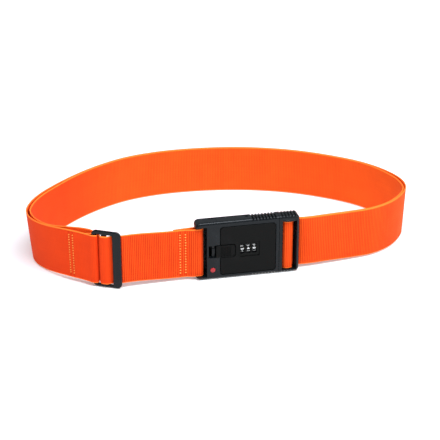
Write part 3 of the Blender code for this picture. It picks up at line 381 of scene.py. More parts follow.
def smooth(points, spacing):
    """A centripetal Catmull-Rom curve through the points, read at equal spacing."""
    ends = [2 * points[0] - points[1], *points, 2 * points[-1] - points[-2]]
    fine = []
    for i in range(1, len(ends) - 2):
        p0, p1, p2, p3 = ends[i - 1:i + 3]
        t1 = (p1 - p0).length ** 0.5
        t2 = t1 + (p2 - p1).length ** 0.5
        t3 = t2 + (p3 - p2).length ** 0.5
        for k in range(24):
            t = t1 + (t2 - t1) * k / 24
            a1 = p0 * ((t1 - t) / t1) + p1 * (t / t1)
            a2 = p1 * ((t2 - t) / (t2 - t1)) + p2 * ((t - t1) / (t2 - t1))
            a3 = p2 * ((t3 - t) / (t3 - t2)) + p3 * ((t - t2) / (t3 - t2))
            b1 = a1 * ((t2 - t) / t2) + a2 * (t / t2)
            b2 = a2 * ((t3 - t) / (t3 - t1)) + a3 * ((t - t1) / (t3 - t1))
            fine.append(b1 * ((t2 - t) / (t2 - t1)) + b2 * ((t - t1) / (t2 - t1)))
    fine.append(points[-1])
    return resample(fine, spacing)


def resample(points, spacing):
    """Points at equal distances along a polyline, its two ends included."""
    way = np.array([tuple(p) for p in points])
    steps = np.hypot(*np.diff(way, axis=0).T)
    reached = np.concatenate(([0.0], np.cumsum(steps)))
    count = max(2, round(reached[-1] / spacing))
    wanted = np.linspace(0.0, reached[-1], count + 1)
    return [Vector((np.interp(w, reached, way[:, 0]), np.interp(w, reached, way[:, 1]))) for w in wanted]


def offset_route(points, distance):
    """The route moved to its right by distance, a function of the point."""
    moved = []
    for i, point in enumerate(points):
        before = points[max(i - 1, 0)]
        after = points[min(i + 1, len(points) - 1)]
        along = (after - before).normalized()
        moved.append(point + Vector((along.y, -along.x)) * distance(point))
    return moved


LOOP_STEP = 7.5
# The outer layer's way round the loop: left end, back, right end, and to the tongue.
LOOP_POINTS = tuple(Vector(p) for p in (
    (-106.0, 20.5), (-117.0, 30.0), (-127.5, 41.5), (-137.0, 54.5), (-144.5, 70.0), (-146.5, 87.0),
    (-141.5, 105.0), (-131.5, 123.5), (-115.0, 144.0), (-92.5, 165.5), (-65.0, 186.0), (-34.0, 202.0),
    (0.0, 210.0), (33.0, 211.6), (70.0, 208.2), (106.0, 199.6), (142.0, 184.5), (174.0, 163.8),
    (201.5, 139.0), (219.0, 113.0), (228.0, 87.5), (227.0, 66.0), (216.0, 46.5), (199.5, 30.0),
    (179.0, 19.0), (156.0, 14.0), (134.0, 10.8), (117.0, 8.4)))


def layer_gap(point):
    """How far the inner layer stands from the outer one: more at both ends, and for the tail by the tri-glide."""
    left = ease(point.x, -60, -130) * ease(point.y, 45, 75) * (1 - ease(point.y, 140, 205))
    right = ease(point.x, 170, 215) * ease(point.y, 50, 80) * (1 - ease(point.y, 95, 140))
    tail = ease(point.x, 0, -100) * (1 - ease(point.y, 30, 46))
    return LAYER + 1.8 * left + 2.2 * right + (LAYER + 0.2 + 1.2 * ease(point.x, -122, -106)) * tail


def strap_route():
    """The strap as one line: sewn tail, housing bar, tri-glide, inner layer, tongue bar, outer layer, tail."""
    fold = 2.4                      # the outer layer's turn round the tri-glide's left bar; the inner one hugs it
    hug = fold + LAYER
    turn_in = 2.5                   # turns round the tri-glide's other bars
    outer = smooth(list(LOOP_POINTS), LOOP_STEP)
    inner = offset_route(outer, layer_gap)
    wrap = BAR_R + BAR_GAP + WEB_T / 2
    strip_y = 4.9                   # the strap just left of the housing
    route = [Vector(p) for p in (
        (-20.0, strip_y + LAYER), (-12.0, strip_y + LAYER), (-6.0, strip_y + LAYER + 0.3),
        (0.5, BAR_Y + wrap - 1.2))]
    route += arc(BAR_X, BAR_Y, wrap, 100, -100, 14)
    route += [Vector(p) for p in (
        (0.5, BAR_Y - wrap + 0.3), (-2.5, strip_y - 1.2), (-5.5, strip_y - 0.3), (-8.5, strip_y + 0.2),
        (-20.0, strip_y), (-35.0, 4.2), (-50.0, 3.3), (-62.0, 2.4))]
    route += from_glide([
        Vector((14.0, turn_in)), Vector((11.0, turn_in)),
        *arc(7.6, 0.0, turn_in, 90, 129, 4), *arc(-0.4, 0.0, turn_in, -51, -90, 4),
        *arc(-3.4, 0.0, turn_in, -90, -180, 6), *arc(-11.0, 0.0, hug, 6, 90, 6),
        Vector((-15.0, hug + 0.7)), Vector((-19.0, hug + 1.1))])
    route += [p for p in inner if p.x < -112 or p.y > FRONT_Y or p.x > 100]
    turn = TONGUE_BAR_R + BAR_GAP + WEB_T / 2
    beside = ((108.0, 8.0), (103.5, 8.3), (99.5, 9.5), (96.2, 10.0))
    route += [Vector((x, y + LAYER)) for x, y in beside]
    route += arc(TONGUE_BAR_X, TONGUE_BAR_Y, turn, -290, -90, 14)
    route += arc(91.0, TONGUE_BAR_Y, turn, -80, 5, 6)
    route += [Vector(p) for p in ((94.9, 8.4), (96.0, 9.7), *reversed(beside[:-1]))]
    route += list(reversed(outer))
    route += from_glide([
        Vector((-17.5, -1.3)), Vector((-14.0, -fold)), *arc(-11.0, 0.0, fold, -90, 90, 9),
        Vector((-15.0, fold)), Vector((-20.0, 1.4))])
    route += [p for p in offset_route(outer, lambda _: LAYER) if -119 < p.x < -104 and p.y < FRONT_Y]
    return smooth(route, STATION_GAP)


def lift_and_lean(x, y, z):
    """Raises the webbing near the buckle and tri-glide, and leans the loop's two ends."""
    lift = LIFT_RIGHT + (LIFT_LEFT - LIFT_RIGHT) * ease(x, 0.0, -90)
    ends = 1.0 - 0.7 * ease(x, 110, 205) - 0.8 * ease(x, -115, -146)
    lift += 1.2 * ease(x, -20, -60) * (1.0 - ease(x, -68, -81))
    raised = z + lift * ends * (1.0 - ease(y, 20, 105))
    height = 2.0 * z / WEB_W - 1.0
    left = ease(x, -105, -148)
    right = ease(x, 175, 227)
    return x + height * (LEAN_RIGHT * right - LEAN_LEFT * left), y, raised


# ---- the webbing's surface -------------------------------------------------------------------
# Distance from the lower edge, half thickness there, and how much of the ribs shows.
HALF_PROFILE = (
    (0.0, 0.22, 0.0), (0.18, 0.46, 0.0), (0.55, 0.60, 0.15), (0.95, 0.57, 0.2), (1.35, 0.46, 0.5),
    (1.9, 0.52, 1.0), (6.0, 0.55, 1.0), (13.0, 0.56, 1.0), (19.5, 0.56, 1.0))


# From edge to edge.
PROFILE = [*HALF_PROFILE, *((WEB_W - v, h, rib) for v, h, rib in reversed(HALF_PROFILE))]


def rib_strength(point):
    """Ribs stand out right of the tri-glide, less so right of the buckle, and are faint round the rest."""
    left_front = ease(point.x, -80, -74) * (1 - ease(point.x, 20, 40)) * (1 - ease(point.y, 18, 24))
    right_front = ease(point.x, 70, 80) * (1 - ease(point.y, 30, 70))
    back = 0.28 * ease(point.y, 120, 170) * ease(point.x, -110, -50)
    return 0.16 + 0.84 * max(left_front, 0.75 * right_front, back)


def dye_depth(point, outer):
    """Painted shade: how much darker the webbing is coloured on the left end's outside, by the tri-glide's folds,
    and a little on the left end's inside, where less light reaches.
    """
    if outer:
        return ease(point.x, -86, -92) * (1 - ease(point.y, 80, 130))
    by_glide = ease(point.x, -74, -79) * (1 - ease(point.y, 14, 22))
    return max(by_glide, 0.9 * ease(point.x, -30, -110) * ease(point.y, 60, 90))


def layer_shift(point, travelled, total):
    """Height of hidden layers: the first tail and the inner layer peep out above, the last tail hides below."""
    first_tail = 0.9 * ease(travelled, -8.0, 13.0) * (1 - ease(travelled, 14.0, 27.0))
    last_tail = 0.9 * ease(travelled, total - 30.0, total - 18.0)
    inner = 0.0
    if point.y < FRONT_Y and 100.0 < travelled < total / 2:
        inner = 2.3 * ease(point.x, -126, -100) * (1 - ease(point.x, -97, -89))
    return first_tail + inner - last_tail


def seam_dent(distance):
    """How deep the stitching pulls the webbing in, at a distance from the stitched row."""
    return 0.10 * math.exp(-(distance / 0.5) ** 2)


def webbing_piece(name, route, first, last, seams):
    """A length of the strap from station first to last, with ribs, selvedges and dents along its seams."""
    end = len(route) - 1
    bm = bmesh.new()
    layers = [bm.verts.layers.float.new(word) for word in ("along", "across", "ribs", "painted_shade", "seam")]
    rings = []
    for i in range(first, last + 1):
        here = route[i]
        tangent = (route[min(i + 1, end)] - route[max(i - 1, 0)]).normalized()
        side = Vector((tangent.y, -tangent.x))
        strength = rib_strength(here)
        to_seam = min(abs(i - s) * STATION_GAP for s in seams)
        # painted shade: how far this ring takes the darker colour
        painted_dark = dye_depth(here, first > len(route) / 2)
        rib = strength * (0.5 + 0.5 * math.cos(2 * math.pi * i / STATIONS_PER_RIB))
        shift = layer_shift(here, i * STATION_GAP, end * STATION_GAP)
        dent = sum(seam_dent((i - s) * STATION_GAP) for s in seams)
        ring = []
        for sign, places in ((1, PROFILE), (-1, PROFILE[::-1])):
            for v, half, share in places:
                depth = half + share * (RIB_H * rib - dent)
                spot = here + side * (sign * depth)
                vert = bm.verts.new(to_world(*lift_and_lean(spot.x, spot.y, BASE_Z + v + shift)))
                # the fourth value sets the painted shade on the left end and by the tri-glide, the fifth the painted
                # shade along the stitched rows
                values = (i * STATION_GAP, v, strength, painted_dark, 1.0 - ease(to_seam, 0.5, 1.2))
                for layer, value in zip(layers, values):
                    vert[layer] = value
                ring.append(vert)
        rings.append(ring)
    count = len(rings[0])
    for a, b in zip(rings, rings[1:]):
        for k in range(count):
            bm.faces.new((a[k], a[(k + 1) % count], b[(k + 1) % count], b[k]))
    for ring in (rings[0], rings[-1]):
        for k in range(count // 2 - 1):
            bm.faces.new((ring[k], ring[k + 1], ring[count - 2 - k], ring[count - 1 - k]))
    bmesh.ops.recalc_face_normals(bm, faces=bm.faces)
    mesh = mesh_of(name, bm)
    smooth_shade(mesh, 60.0)
    mesh.materials.append(MATERIALS["webbing"])
    obj = add_object(name, mesh)
    return obj


def crossings(route, x):
    """Stations where the back of the loop crosses a plane of constant X."""
    pairs = zip(range(len(route)), route, route[1:])
    return [i for i, a, b in pairs if a.y > 100.0 and (a.x - x) * (b.x - x) <= 0.0 and a.x != b.x]


def stations_at(route, xs, first, last):
    """The station nearest to each X at the front of the loop, among stations first to last."""
    front = [i for i in range(first, last) if route[i].y < FRONT_Y]
    return [min(front, key=lambda i: abs(route[i].x - x)) for x in xs]


def stitch_rows(name, route, rows, pitch, tilt, faces):
    """Rows of stitches across the strap: small slanted ovals half sunk in the webbing, on each face given."""
    bm = bmesh.new()
    size = Matrix.Diagonal((STITCH_R * MM, STITCH_R * MM, STITCH_HALF_L * MM, 1.0))
    margin = 2.5
    count = int((WEB_W - 2 * margin) / pitch)
    for row in rows:
        here = route[row]
        tangent = (route[row + 1] - route[row - 1]).normalized()
        side = Vector((tangent.y, -tangent.x))
        for offset in faces:
            spot = here + side * offset
            for k in range(count):
                v = (WEB_W - (count - 1) * pitch) / 2 + k * pitch + 0.12 * math.sin(2.3 * k + row)
                x, y, z = lift_and_lean(spot.x, spot.y, BASE_Z + v)
                slant = tilt * (1.0 + 0.12 * math.sin(1.7 * k + 0.4 * row))
                direction = Vector((tangent.x * math.sin(slant), tangent.y * math.sin(slant), math.cos(slant)))
                turn = direction.to_track_quat("Z", "Y").to_matrix().to_4x4()
                place = Matrix.Translation(to_world(x, y, z)) @ turn
                bmesh.ops.create_uvsphere(bm, u_segments=8, v_segments=6, radius=1.0, matrix=place @ size)
    mesh = mesh_of(name, bm)
    mesh.shade_smooth()
    mesh.materials.append(MATERIALS["thread"])
    return add_object(name, mesh)


def strap():
    """The five lengths of webbing and the stitching on its tails."""
    route = strap_route()
    end = len(route) - 1
    left_in, left_out = crossings(route, BACK_X0)
    right_in, right_out = crossings(route, BACK_X1)
    housing_rows = stations_at(route, HOUSING_SEAMS, int(0.02 * end), int(0.12 * end))
    glide_rows = stations_at(route, GLIDE_SEAMS, left_out, left_out + int(0.75 * (end - left_out)))
    seams = (*housing_rows, *glide_rows)
    pieces = (("webbing_left_inner", 0, left_in, "strap_left_inner", ["housing_strap_bar", "tri_glide"]),
              ("webbing_back_inner", left_in, right_in, "strap_left_inner", ["webbing_left_inner", "webbing_right"]),
              ("webbing_right", right_in, right_out, "strap_right", ["tongue_strap_bar"]),
              ("webbing_back_outer", right_out, left_out, "strap_right", ["webbing_left_outer", "webbing_right"]),
              ("webbing_left_outer", left_out, end, "strap_left_outer", ["tri_glide"]))
    for name, first, last, node, rests_on in pieces:
        piece = webbing_piece(name, route, first, last, seams)
        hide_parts(node)
        if "back" in name:
            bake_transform(piece)
        else:
            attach(piece, "tongue" if name == "webbing_right" else "housing")
    # the faces: in front of the strap, and behind the tail that lies one layer behind it
    front = WEB_T / 2 - STITCH_SUNK
    rear = front + LAYER
    for name, rows, pitch, tilt, faces in (
            ("stitching_housing", housing_rows, HOUSING_STITCH, 76, (-front, rear)),
            ("stitching_glide", glide_rows, GLIDE_STITCH, 66, (front, -rear))):
        stitches = stitch_rows(name, route, rows, pitch, math.radians(tilt), faces)
        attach(stitches, "housing")


# ---- numerals on the wheels ------------------------------------------------------------------
NUMERAL_H, NUMERAL_HALF_T = 2.7, 0.12
NUMERAL_PROUD = 0.04                # how far a numeral's face stands out of the wheel
FONT_SIZE_PER_HEIGHT = 1.38
FRONT_DIGITS = (3, 4, 0)            # the digit in the middle of each window


def digit_mesh(digit):
    """A thick flat numeral, upright in X and Y, centred, in millimetres."""
    text = bpy.data.curves.new("digit", "FONT")
    text.body = str(digit)
    text.size = NUMERAL_H * FONT_SIZE_PER_HEIGHT
    text.extrude = NUMERAL_HALF_T
    text.resolution_u = 4
    text.offset = 0.09
    text.align_x = "CENTER"
    text.align_y = "CENTER"
    holder = add_object("digit", text)
    bpy.context.view_layer.update()
    mesh = bpy.data.meshes.new_from_object(holder.evaluated_get(bpy.context.evaluated_depsgraph_get()))
    bpy.data.objects.remove(holder, do_unlink=True)
    bpy.data.curves.remove(text)
    return mesh


def numerals():
    """White numerals printed round each wheel, lying on their side as seen from the front."""
    for index, ((low, high), front_digit) in enumerate(zip(WHEELS, FRONT_DIGITS)):
        centre = (low + high) / 2
        radius = WHEEL_R / MM
        bm = bmesh.new()
        for digit in range(10):
            part = bmesh.new()
            mesh = digit_mesh(digit)
            part.from_mesh(mesh)
            bmesh.ops.subdivide_edges(part, edges=[e for e in part.edges if e.calc_length() > 0.5], cuts=1)
            middle = sum((v.co for v in part.verts), Vector()) / len(part.verts)
            turn = math.radians(36.0 * (front_digit - digit))
            for vert in part.verts:
                u, w, h = vert.co.x - middle.x, vert.co.y - middle.y, vert.co.z
                reach = radius + NUMERAL_PROUD + h - NUMERAL_HALF_T
                angle = turn - u / radius
                vert.co = centre + Vector((w, -reach * math.cos(angle), reach * math.sin(angle))) * MM
            bmesh.ops.recalc_face_normals(part, faces=part.faces)
            part.to_mesh(mesh)
            part.free()
            bm.from_mesh(mesh)
            bpy.data.meshes.remove(mesh)
        mesh = mesh_of(f"numerals_{index + 1}", bm)
        mesh.materials.append(MATERIALS["numeral"])
        piece = add_object(mesh.name, mesh)
        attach(piece, f"dial_{index + 1}")


# ---- hard pieces: small solids in buckle coordinates, cut and joined, then rounded -------------
PLACE = Matrix.Translation((BUCKLE_X, BUCKLE_Y, 0.0)) @ Matrix.Diagonal((MM, MM, MM, 1.0))
GLIDE_PLACE = (PLACE @ Matrix.Translation((GLIDE_X, GLIDE_Y, GLIDE_H / 2))
               @ Matrix.Rotation(GLIDE_YAW, 4, "Z"))
AXIS_TURN = {
    "X": Matrix.Rotation(math.radians(90.0), 4, "Y"),
    "Y": Matrix.Rotation(math.radians(-90.0), 4, "X"),
    "Z": Matrix.Identity(4),
}


def from_bmesh(name, bm):
    """A new object with the mesh built so far, in triangles."""
    bmesh.ops.triangulate(bm, faces=bm.faces)
    return add_object(name, mesh_of(name, bm))


def block(*spans):
    """Boxes given by their X, Y and Z spans."""
    bm = bmesh.new()
    for x0, x1, y0, y1, z0, z1 in spans:
        centre = Vector((x0 + x1, y0 + y1, z0 + z1)) / 2
        size = Matrix.Diagonal((x1 - x0, y1 - y0, z1 - z0, 1.0))
        bmesh.ops.create_cube(bm, size=1.0, matrix=Matrix.Translation(centre) @ size)
    return from_bmesh("block", bm)


def rod(axis, radius, centre, length, sides=40):
    """A round bar along an axis."""
    bm = bmesh.new()
    place = Matrix.Translation(centre) @ AXIS_TURN[axis]
    bmesh.ops.create_cone(bm, cap_ends=True, segments=sides, radius1=radius, radius2=radius,
                          depth=length, matrix=place)
    return from_bmesh("rod", bm)


def loft(name, rings):
    """A closed body through rings of points, with flat ends."""
    bm = bmesh.new()
    rings = [[bm.verts.new(point) for point in ring] for ring in rings]
    for a, b in zip(rings, rings[1:]):
        for k in range(len(a)):
            bm.faces.new((a[k], a[(k + 1) % len(a)], b[(k + 1) % len(a)], b[k]))
    bm.faces.new(rings[0])
    bm.faces.new(rings[-1])
    bmesh.ops.recalc_face_normals(bm, faces=bm.faces)
    return from_bmesh(name, bm)


def slab(y0, y1, outline):
    """A plate as thick as y0 to y1, cut to an outline of X and Z points."""
    return loft("slab", [[(x, y, z) for x, z in outline] for y in (y0, y1)])


def upright(z0, z1, outline):
    """A prism from z0 to z1 over an outline of X and Y points."""
    return loft("upright", [[(x, y, z) for x, y in outline] for z in (z0, z1)])


def rounded_outline(x0, x1, z0, z1, radius, steps=8):
    """A rectangle in X and Z with rounded corners."""
    points = []
    corners = ((x1 - radius, z1 - radius, 0), (x0 + radius, z1 - radius, 90),
               (x0 + radius, z0 + radius, 180), (x1 - radius, z0 + radius, 270))
    for cx, cz, start in corners:
        points += sweep(cx, cz, radius, start, start + 90.0, steps)
    return points


def baked(obj):
    """Replaces an object's mesh by what its modifiers make of it."""
    bpy.context.view_layer.update()
    depsgraph = bpy.context.evaluated_depsgraph_get()
    mesh = bpy.data.meshes.new_from_object(obj.evaluated_get(depsgraph))
    obj.modifiers.clear()
    old = obj.data
    obj.data = mesh
    bpy.data.meshes.remove(old)
    return obj


def combine(operation, base, *others):
    """A Boolean of base with the others, which are used up."""
    for other in others:
        mod = base.modifiers.new("combine", "BOOLEAN")
        mod.operation = operation
        mod.object = other
        mod.solver = "MANIFOLD"
    baked(base)
    for other in others:
        bpy.data.objects.remove(other, do_unlink=True)
    return base


def cut(base, *others):
    return combine("DIFFERENCE", base, *others)


def join(base, *others):
    return combine("UNION", base, *others)


def rounded(obj, width, segments, angle=48.0):
    """The object with its sharp edges rounded."""
    mod = obj.modifiers.new("round", "BEVEL")
    mod.width = width
    mod.segments = segments
    mod.limit_method = "ANGLE"
    mod.angle_limit = math.radians(angle)
    mod.use_clamp_overlap = False
    return baked(obj)


def hard_piece(obj, name, finish, body, node, place=PLACE):
    """Gives a finished solid its name, place, shading and material, and hides the CAD node that it stands in for."""
    obj.name = name
    obj.data.name = name
    obj.data.transform(place)
    smooth_shade(obj.data, 38.0)
    flat = obj.modifiers.new("flat faces stay flat", "WEIGHTED_NORMAL")
    flat.weight = 100
    flat.keep_sharp = True
    baked(obj)
    obj.data.materials.clear()
    obj.data.materials.append(MATERIALS[finish])
    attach(obj, body)
    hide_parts(node)
    return obj


def rounding_steps(radius):
    """Inset from the side and depth below the face, along a quarter-round edge."""
    steps = 7
    angles = [math.radians(90.0 * k / steps) for k in range(steps + 1)]
    return [(radius * (1 - math.sin(a)), radius * (1 - math.cos(a))) for a in angles]


def rounded_block(y0, y1, x0, x1, z0, z1, corner, radius):
    """A plate with rounded corners whose edges are rounded off at both faces."""
    steps = rounding_steps(radius)
    levels = [(d, y0 + depth) for d, depth in steps] + [(d, y1 - depth) for d, depth in reversed(steps)]
    return loft("rounded", [[(x, y, z) for x, z in rounded_outline(x0 + d, x1 - d, z0 + d, z1 - d, corner - d)]
                            for d, y in levels])


def rounded_slot(y0, y1, x0, x1, z0, z1, corner, radius):
    """What cuts a slot whose rims are rounded off at both faces."""
    steps = rounding_steps(radius)
    levels = [(radius, y0 - 1.0)] + [(d, y0 + depth) for d, depth in steps]
    levels += [(d, y1 - depth) for d, depth in reversed(steps)] + [(radius, y1 + 1.0)]
    return loft("slot", [[(x, y, z) for x, z in rounded_outline(x0 - d, x1 + d, z0 - d, z1 + d, corner + d)]
                         for d, y in levels])


def envelope(x0, x1, corner):
    """The buckle's rounded outer block."""
    return rounded_block(0.0, HOUSING_T, x0, x1, 0.0, HOUSING_H, corner, EDGE_R)


def groove_outlines(first_x, count, depth):
    """Round-bottomed grooves in the upper and lower edges, as X and Z outlines."""
    half = GROOVE_W / 2
    outlines = []
    for i in range(count):
        x = first_x + RIDGE_PITCH * i + half
        bottom = sweep(x, HOUSING_H - depth + half, half, 180.0, 360.0, 8)
        top = [(x - half, HOUSING_H + 2.0), *bottom, (x + half, HOUSING_H + 2.0)]
        outlines += [top, [(px, HOUSING_H - pz) for px, pz in top]]
    return outlines


def housing_half(y0, y1):
    """The part of the housing's rounded block between two planes, with its ridges and rounded rear left end."""
    half = block((-1, HOUSING_L, y0, y1, -1, HOUSING_H + 1))
    combine("INTERSECT", half, envelope(0.0, HOUSING_L + 12.0, CORNER_R))
    rounding = sweep(REAR_R, HOUSING_T - REAR_R, REAR_R, 180.0, 90.0, 12)
    cut(half, upright(-2, HOUSING_H + 2, [(REAR_R, HOUSING_T + 2), (-2, HOUSING_T + 2),
                                          (-2, HOUSING_T - REAR_R), *rounding]))
    for groove in groove_outlines(HOUSING_RIDGE_X, HOUSING_RIDGES, HOUSING_GROOVE_D):
        cut(half, slab(GROOVE_Y0, HOUSING_T + 2, groove))
    return half


def housing():
    """The two halves of the lock housing."""
    front = housing_half(-1, COVER_Y - COVER_JOINT)
    back = housing_half(COVER_Y, HOUSING_T + 1)
    low, high = MID_Z - COVER_HALF_H, MID_Z + COVER_HALF_H
    recess_low, recess_high = MID_Z - RECESS_HALF_H, MID_Z + RECESS_HALF_H
    # the shallow panel in the top edge; then the inside, the prongs' mouth, the gap between the ears and
    # the bar's seats; then the dial panel's seat and opening, and the slider's recess and slot
    cut(front, block((13.7, 21.0, 3.4, 10.6, HOUSING_H - 0.3, HOUSING_H + 1)))
    seat, ledge, inset = PANEL_SEAT_GAP, 2.6, 0.6
    cut(front,
        block((12.6, HOUSING_L - 2.4, 3.1, COVER_Y + 2, 4.0, 53.6)),
        block((HOUSING_L - 4, HOUSING_L + 2, 4.8, 10.1, MID_Z - 19.5, MID_Z + 19.5)),
        block((-5, SLOT_X, -2, HOUSING_T + 2, NOTCH_Z0, NOTCH_Z1)),
        rod("Z", BAR_R + BAR_GAP, (BAR_X, BAR_Y, HOUSING_H / 2), HOUSING_H - 2.6),
        slab(-2, SEAT_Y, rounded_outline(COVER_X0 - seat, COVER_X1 + seat, low - seat, high + seat, 3.2)),
        block((COVER_X0 + ledge, COVER_X1 - ledge, -2, FLOOR_Y, low + ledge, high - ledge)),
        block((RECESS_X0, COVER_X0 + 1, -2, SEAT_Y, recess_low, recess_high)),
        block((RECESS_X0 + inset, COVER_X0 + 4, 1, FLOOR_Y, recess_low + inset, recess_high - inset)))
    join(front, block((RIB_X0, RIB_X1, 2.3, 3.1, recess_low, recess_high)))
    join(front, rounded(block((RIB_X0, RIB_X1 + 0.5, 1.7, 2.9, MID_Z - 3.0, MID_Z + 3.0)), 0.4, 3))
    join(front, *[rod("Y", BOSS_R, (x, 6.7, z), 8.2, 24) for x, z in SCREW_PLACES])
    cut(front, *[rod("Y", SCREW_BORE_R, (x, 9.0, z), 9.0, 20) for x, z in SCREW_PLACES],
        rod("Z", PINHOLE_R, (RESET_X, RESET_Y, HOUSING_H), 12.0, 32),
        rod("Z", KEY_BORE_R, (KEY_X, KEY_Y, 0.0), 12.0, 32),
        rod("Y", DOT_R + 0.3, (DOT_X, 0.0, DOT_Z), 1.4, 40))
    hard_piece(front, "shell_front", "black_plastic", "housing", "housing_front")

    # two spindle posts, the code-change pin's guide, and the slider spring's rest
    join(back, block((38.6, 41.0, 3.5, COVER_Y + 1, MID_Z - 3, MID_Z + 3),
                     (62.2, 64.6, 3.5, COVER_Y + 1, MID_Z - 3, MID_Z + 3),
                     (RESET_X - 3, RESET_X + 3, 6.0, COVER_Y + 1, 41.0, 42.4),
                     (19.4, 21.0, 7.0, COVER_Y + 1, MID_Z - 2.5, MID_Z + 2.5)))
    cut(back, rod("X", POST_BORE_R, (52.0, WHEEL_Y, MID_Z), 34.0, 24),
        rod("Z", POST_BORE_R, (RESET_X, RESET_Y, 41.7), 5.0, 20),
        *[rod("Y", SCREW_HEAD_R, (x, HOUSING_T + 0.2, z), 4.2, 40) for x, z in SCREW_PLACES])
    cut(back, *[rod("Y", SCREW_BORE_R, (x, 12.0, z), 6.0, 20) for x, z in SCREW_PLACES])
    hard_piece(back, "shell_back", "black_plastic", "housing", "housing_back")


def cover():
    """The dial panel, with the slider's opening, the sunk field round the windows, and the windows."""
    low, high = MID_Z - COVER_HALF_H + PANEL_INSET, MID_Z + COVER_HALF_H - PANEL_INSET
    opening = RECESS_HALF_H + 0.4
    plate = rounded_block(-0.3, 1.4, COVER_X0 + PANEL_INSET, COVER_X1 - PANEL_INSET, low, high, 2.7, 0.55)
    cut(plate,
        slab(-3, 4, rounded_outline(COVER_X0 - 8, SLIDER_X1 + 0.8, MID_Z - opening, MID_Z + opening, 2.8)),
        slab(-3, 0.6, rounded_outline(42.2, 61.6, MID_Z - 7.7, MID_Z + 7.7, 1.6)),
        *[slab(-3, 4, rounded_outline(x - 2.2, x + 2.2, MID_Z - 4.8, MID_Z + 4.8, 0.7, 4)) for x in WHEEL_XS])
    hard_piece(plate, "dial_panel", "cover_plastic", "housing", "dial_cover")


def slider():
    """The thumb slider: a plate rounded at its right, with grip flutes, a stem and the foot behind the wall."""
    half, r, face_y, flute_r = SLIDER_HALF_H, SLIDER_CORNER_R, -1.3, 0.5
    outline = [(SLIDER_X0, MID_Z + half), (SLIDER_X0, MID_Z - half)]
    outline += sweep(SLIDER_X1 - r, MID_Z - half + r, r, 270.0, 360.0, 8)
    outline += sweep(SLIDER_X1 - r, MID_Z + half - r, r, 0.0, 90.0, 8)
    thumb = rounded(slab(face_y, 1.5, outline), 0.6, 4, 50.0)
    cut(thumb, *[upright(MID_Z - 4.9, MID_Z + 4.9, circle(x, face_y, flute_r, 16))
                 for x in np.arange(24.0, 34.5, 1.5)])
    join(thumb, block((27.0, 36.0, 1.0, 4.0, MID_Z - 4, MID_Z + 4)))
    join(thumb, block((21.0, 36.4, 3.5, 4.9, MID_Z - 10, MID_Z + 10)))
    hard_piece(thumb, "thumb_slider", "cover_plastic", "slider", "release_slider")


def window_outline():
    """The tongue's window: upright sides, and a top and bottom that bow into the opening."""
    steps = 16
    bow = [(WINDOW_W * i / steps, math.sin(math.pi * i / steps)) for i in range(steps + 1)]
    return [(WINDOW_X1 - x, 53.4 - h) for x, h in bow] + [(WINDOW_X0 + x, 2.3 + 0.2 * h) for x, h in bow]


def lip():
    """A curved moulding over the window, thickest at its middle."""
    rings = []
    for i in range(25):
        t = i / 24
        bow = math.sin(math.pi * t)
        around = circle(0.55, 54.6 - 1.2 * bow, 0.35 + 0.75 * bow ** 0.6, 16)
        rings.append([(83.0 + 15.2 * t, y, z) for y, z in around])
    return loft("lip", rings)


def tongue():
    """The pull-out tongue: a frame round the strap's window, and two prongs with notches for the bolts."""
    shell = block((TONGUE_X0, TONGUE_X1 + 1, -1, HOUSING_T + 1, -1, HOUSING_H + 1))
    combine("INTERSECT", shell, envelope(TONGUE_X0 - 12.0, TONGUE_X1, TONGUE_CORNER_R))
    cut(shell, *[slab(GROOVE_Y0, HOUSING_T + 2, groove)
                 for groove in groove_outlines(TONGUE_RIDGE_X, TONGUE_RIDGES, TONGUE_GROOVE_D)])
    # the window, the slot for the strap behind its right side, and the slanted wall inside that side
    cut(shell, slab(-2, HOUSING_T + 2, window_outline()),
        block((96.6, TONGUE_X1 + 2, 8.0, HOUSING_T + 2, 2.6, 53.1)))
    join(shell, upright(2.0, 54.0, [(98.0, 2.6), (98.0, 8.0), (96.4, 8.0), (95.9, 7.4)]))
    # a step in the joint line, so that no light comes through it
    join(shell, block((TONGUE_X0 - 0.3, TONGUE_X0 + 0.5, 2.2, 12.2, 2.0, 56.6)))
    join(shell, lip())
    join(shell, *[rounded(block((PRONG_X0, TONGUE_X0 + 2, 5.3, 9.6, z, z + PRONG_H)), 0.8, 3)
                  for z in (MID_Z - PRONG_REACH, MID_Z + PRONG_REACH - PRONG_H)])
    cut(shell,
        rod("Z", TONGUE_BAR_R + BAR_GAP, (TONGUE_BAR_X, TONGUE_BAR_Y, HOUSING_H / 2), HOUSING_H - 3.75),
        block((66.2, 71.8, 4.3, 10.6, MID_Z + 10.4, MID_Z + 14.0),
              (66.2, 71.8, 4.3, 10.6, MID_Z - 14.0, MID_Z - 10.4)))
    hard_piece(shell, "tongue_shell", "black_plastic", "tongue", "tongue_frame")


def glide():
    """The tri-glide, in its own coordinates: its middle at the origin, X across its bars."""
    half, y0, y1 = GLIDE_H / 2, -GLIDE_T / 2, GLIDE_T / 2
    body = rounded_block(y0, y1, GLIDE_X0, GLIDE_X1, -half, half, GLIDE_CORNER_R, GLIDE_EDGE_R)
    for x0, x1 in GLIDE_SLOTS:
        cut(body, rounded_slot(y0, y1, x0, x1, GLIDE_RAIL_LOW - half, half - GLIDE_RAIL_TOP, 0.6, GLIDE_EDGE_R))
    hard_piece(body, "glide_frame", "black_plastic", "housing", "tri_glide", GLIDE_PLACE)


def wheels():
    """The three number wheels, with softened rims."""
    for i, x in enumerate(WHEEL_XS):
        ring = rounded(rod("X", WHEEL_RADIUS, (x, WHEEL_Y, MID_Z), WHEEL_W, 80), 0.3, 3, 50.0)
        cut(ring, rod("X", WHEEL_BORE_R, (x, WHEEL_Y, MID_Z), 2 * WHEEL_W, 40))
        hard_piece(ring, f"number_wheel_{i + 1}", "wheel_plastic", f"dial_{i + 1}", f"dial_wheel_{i + 1}")


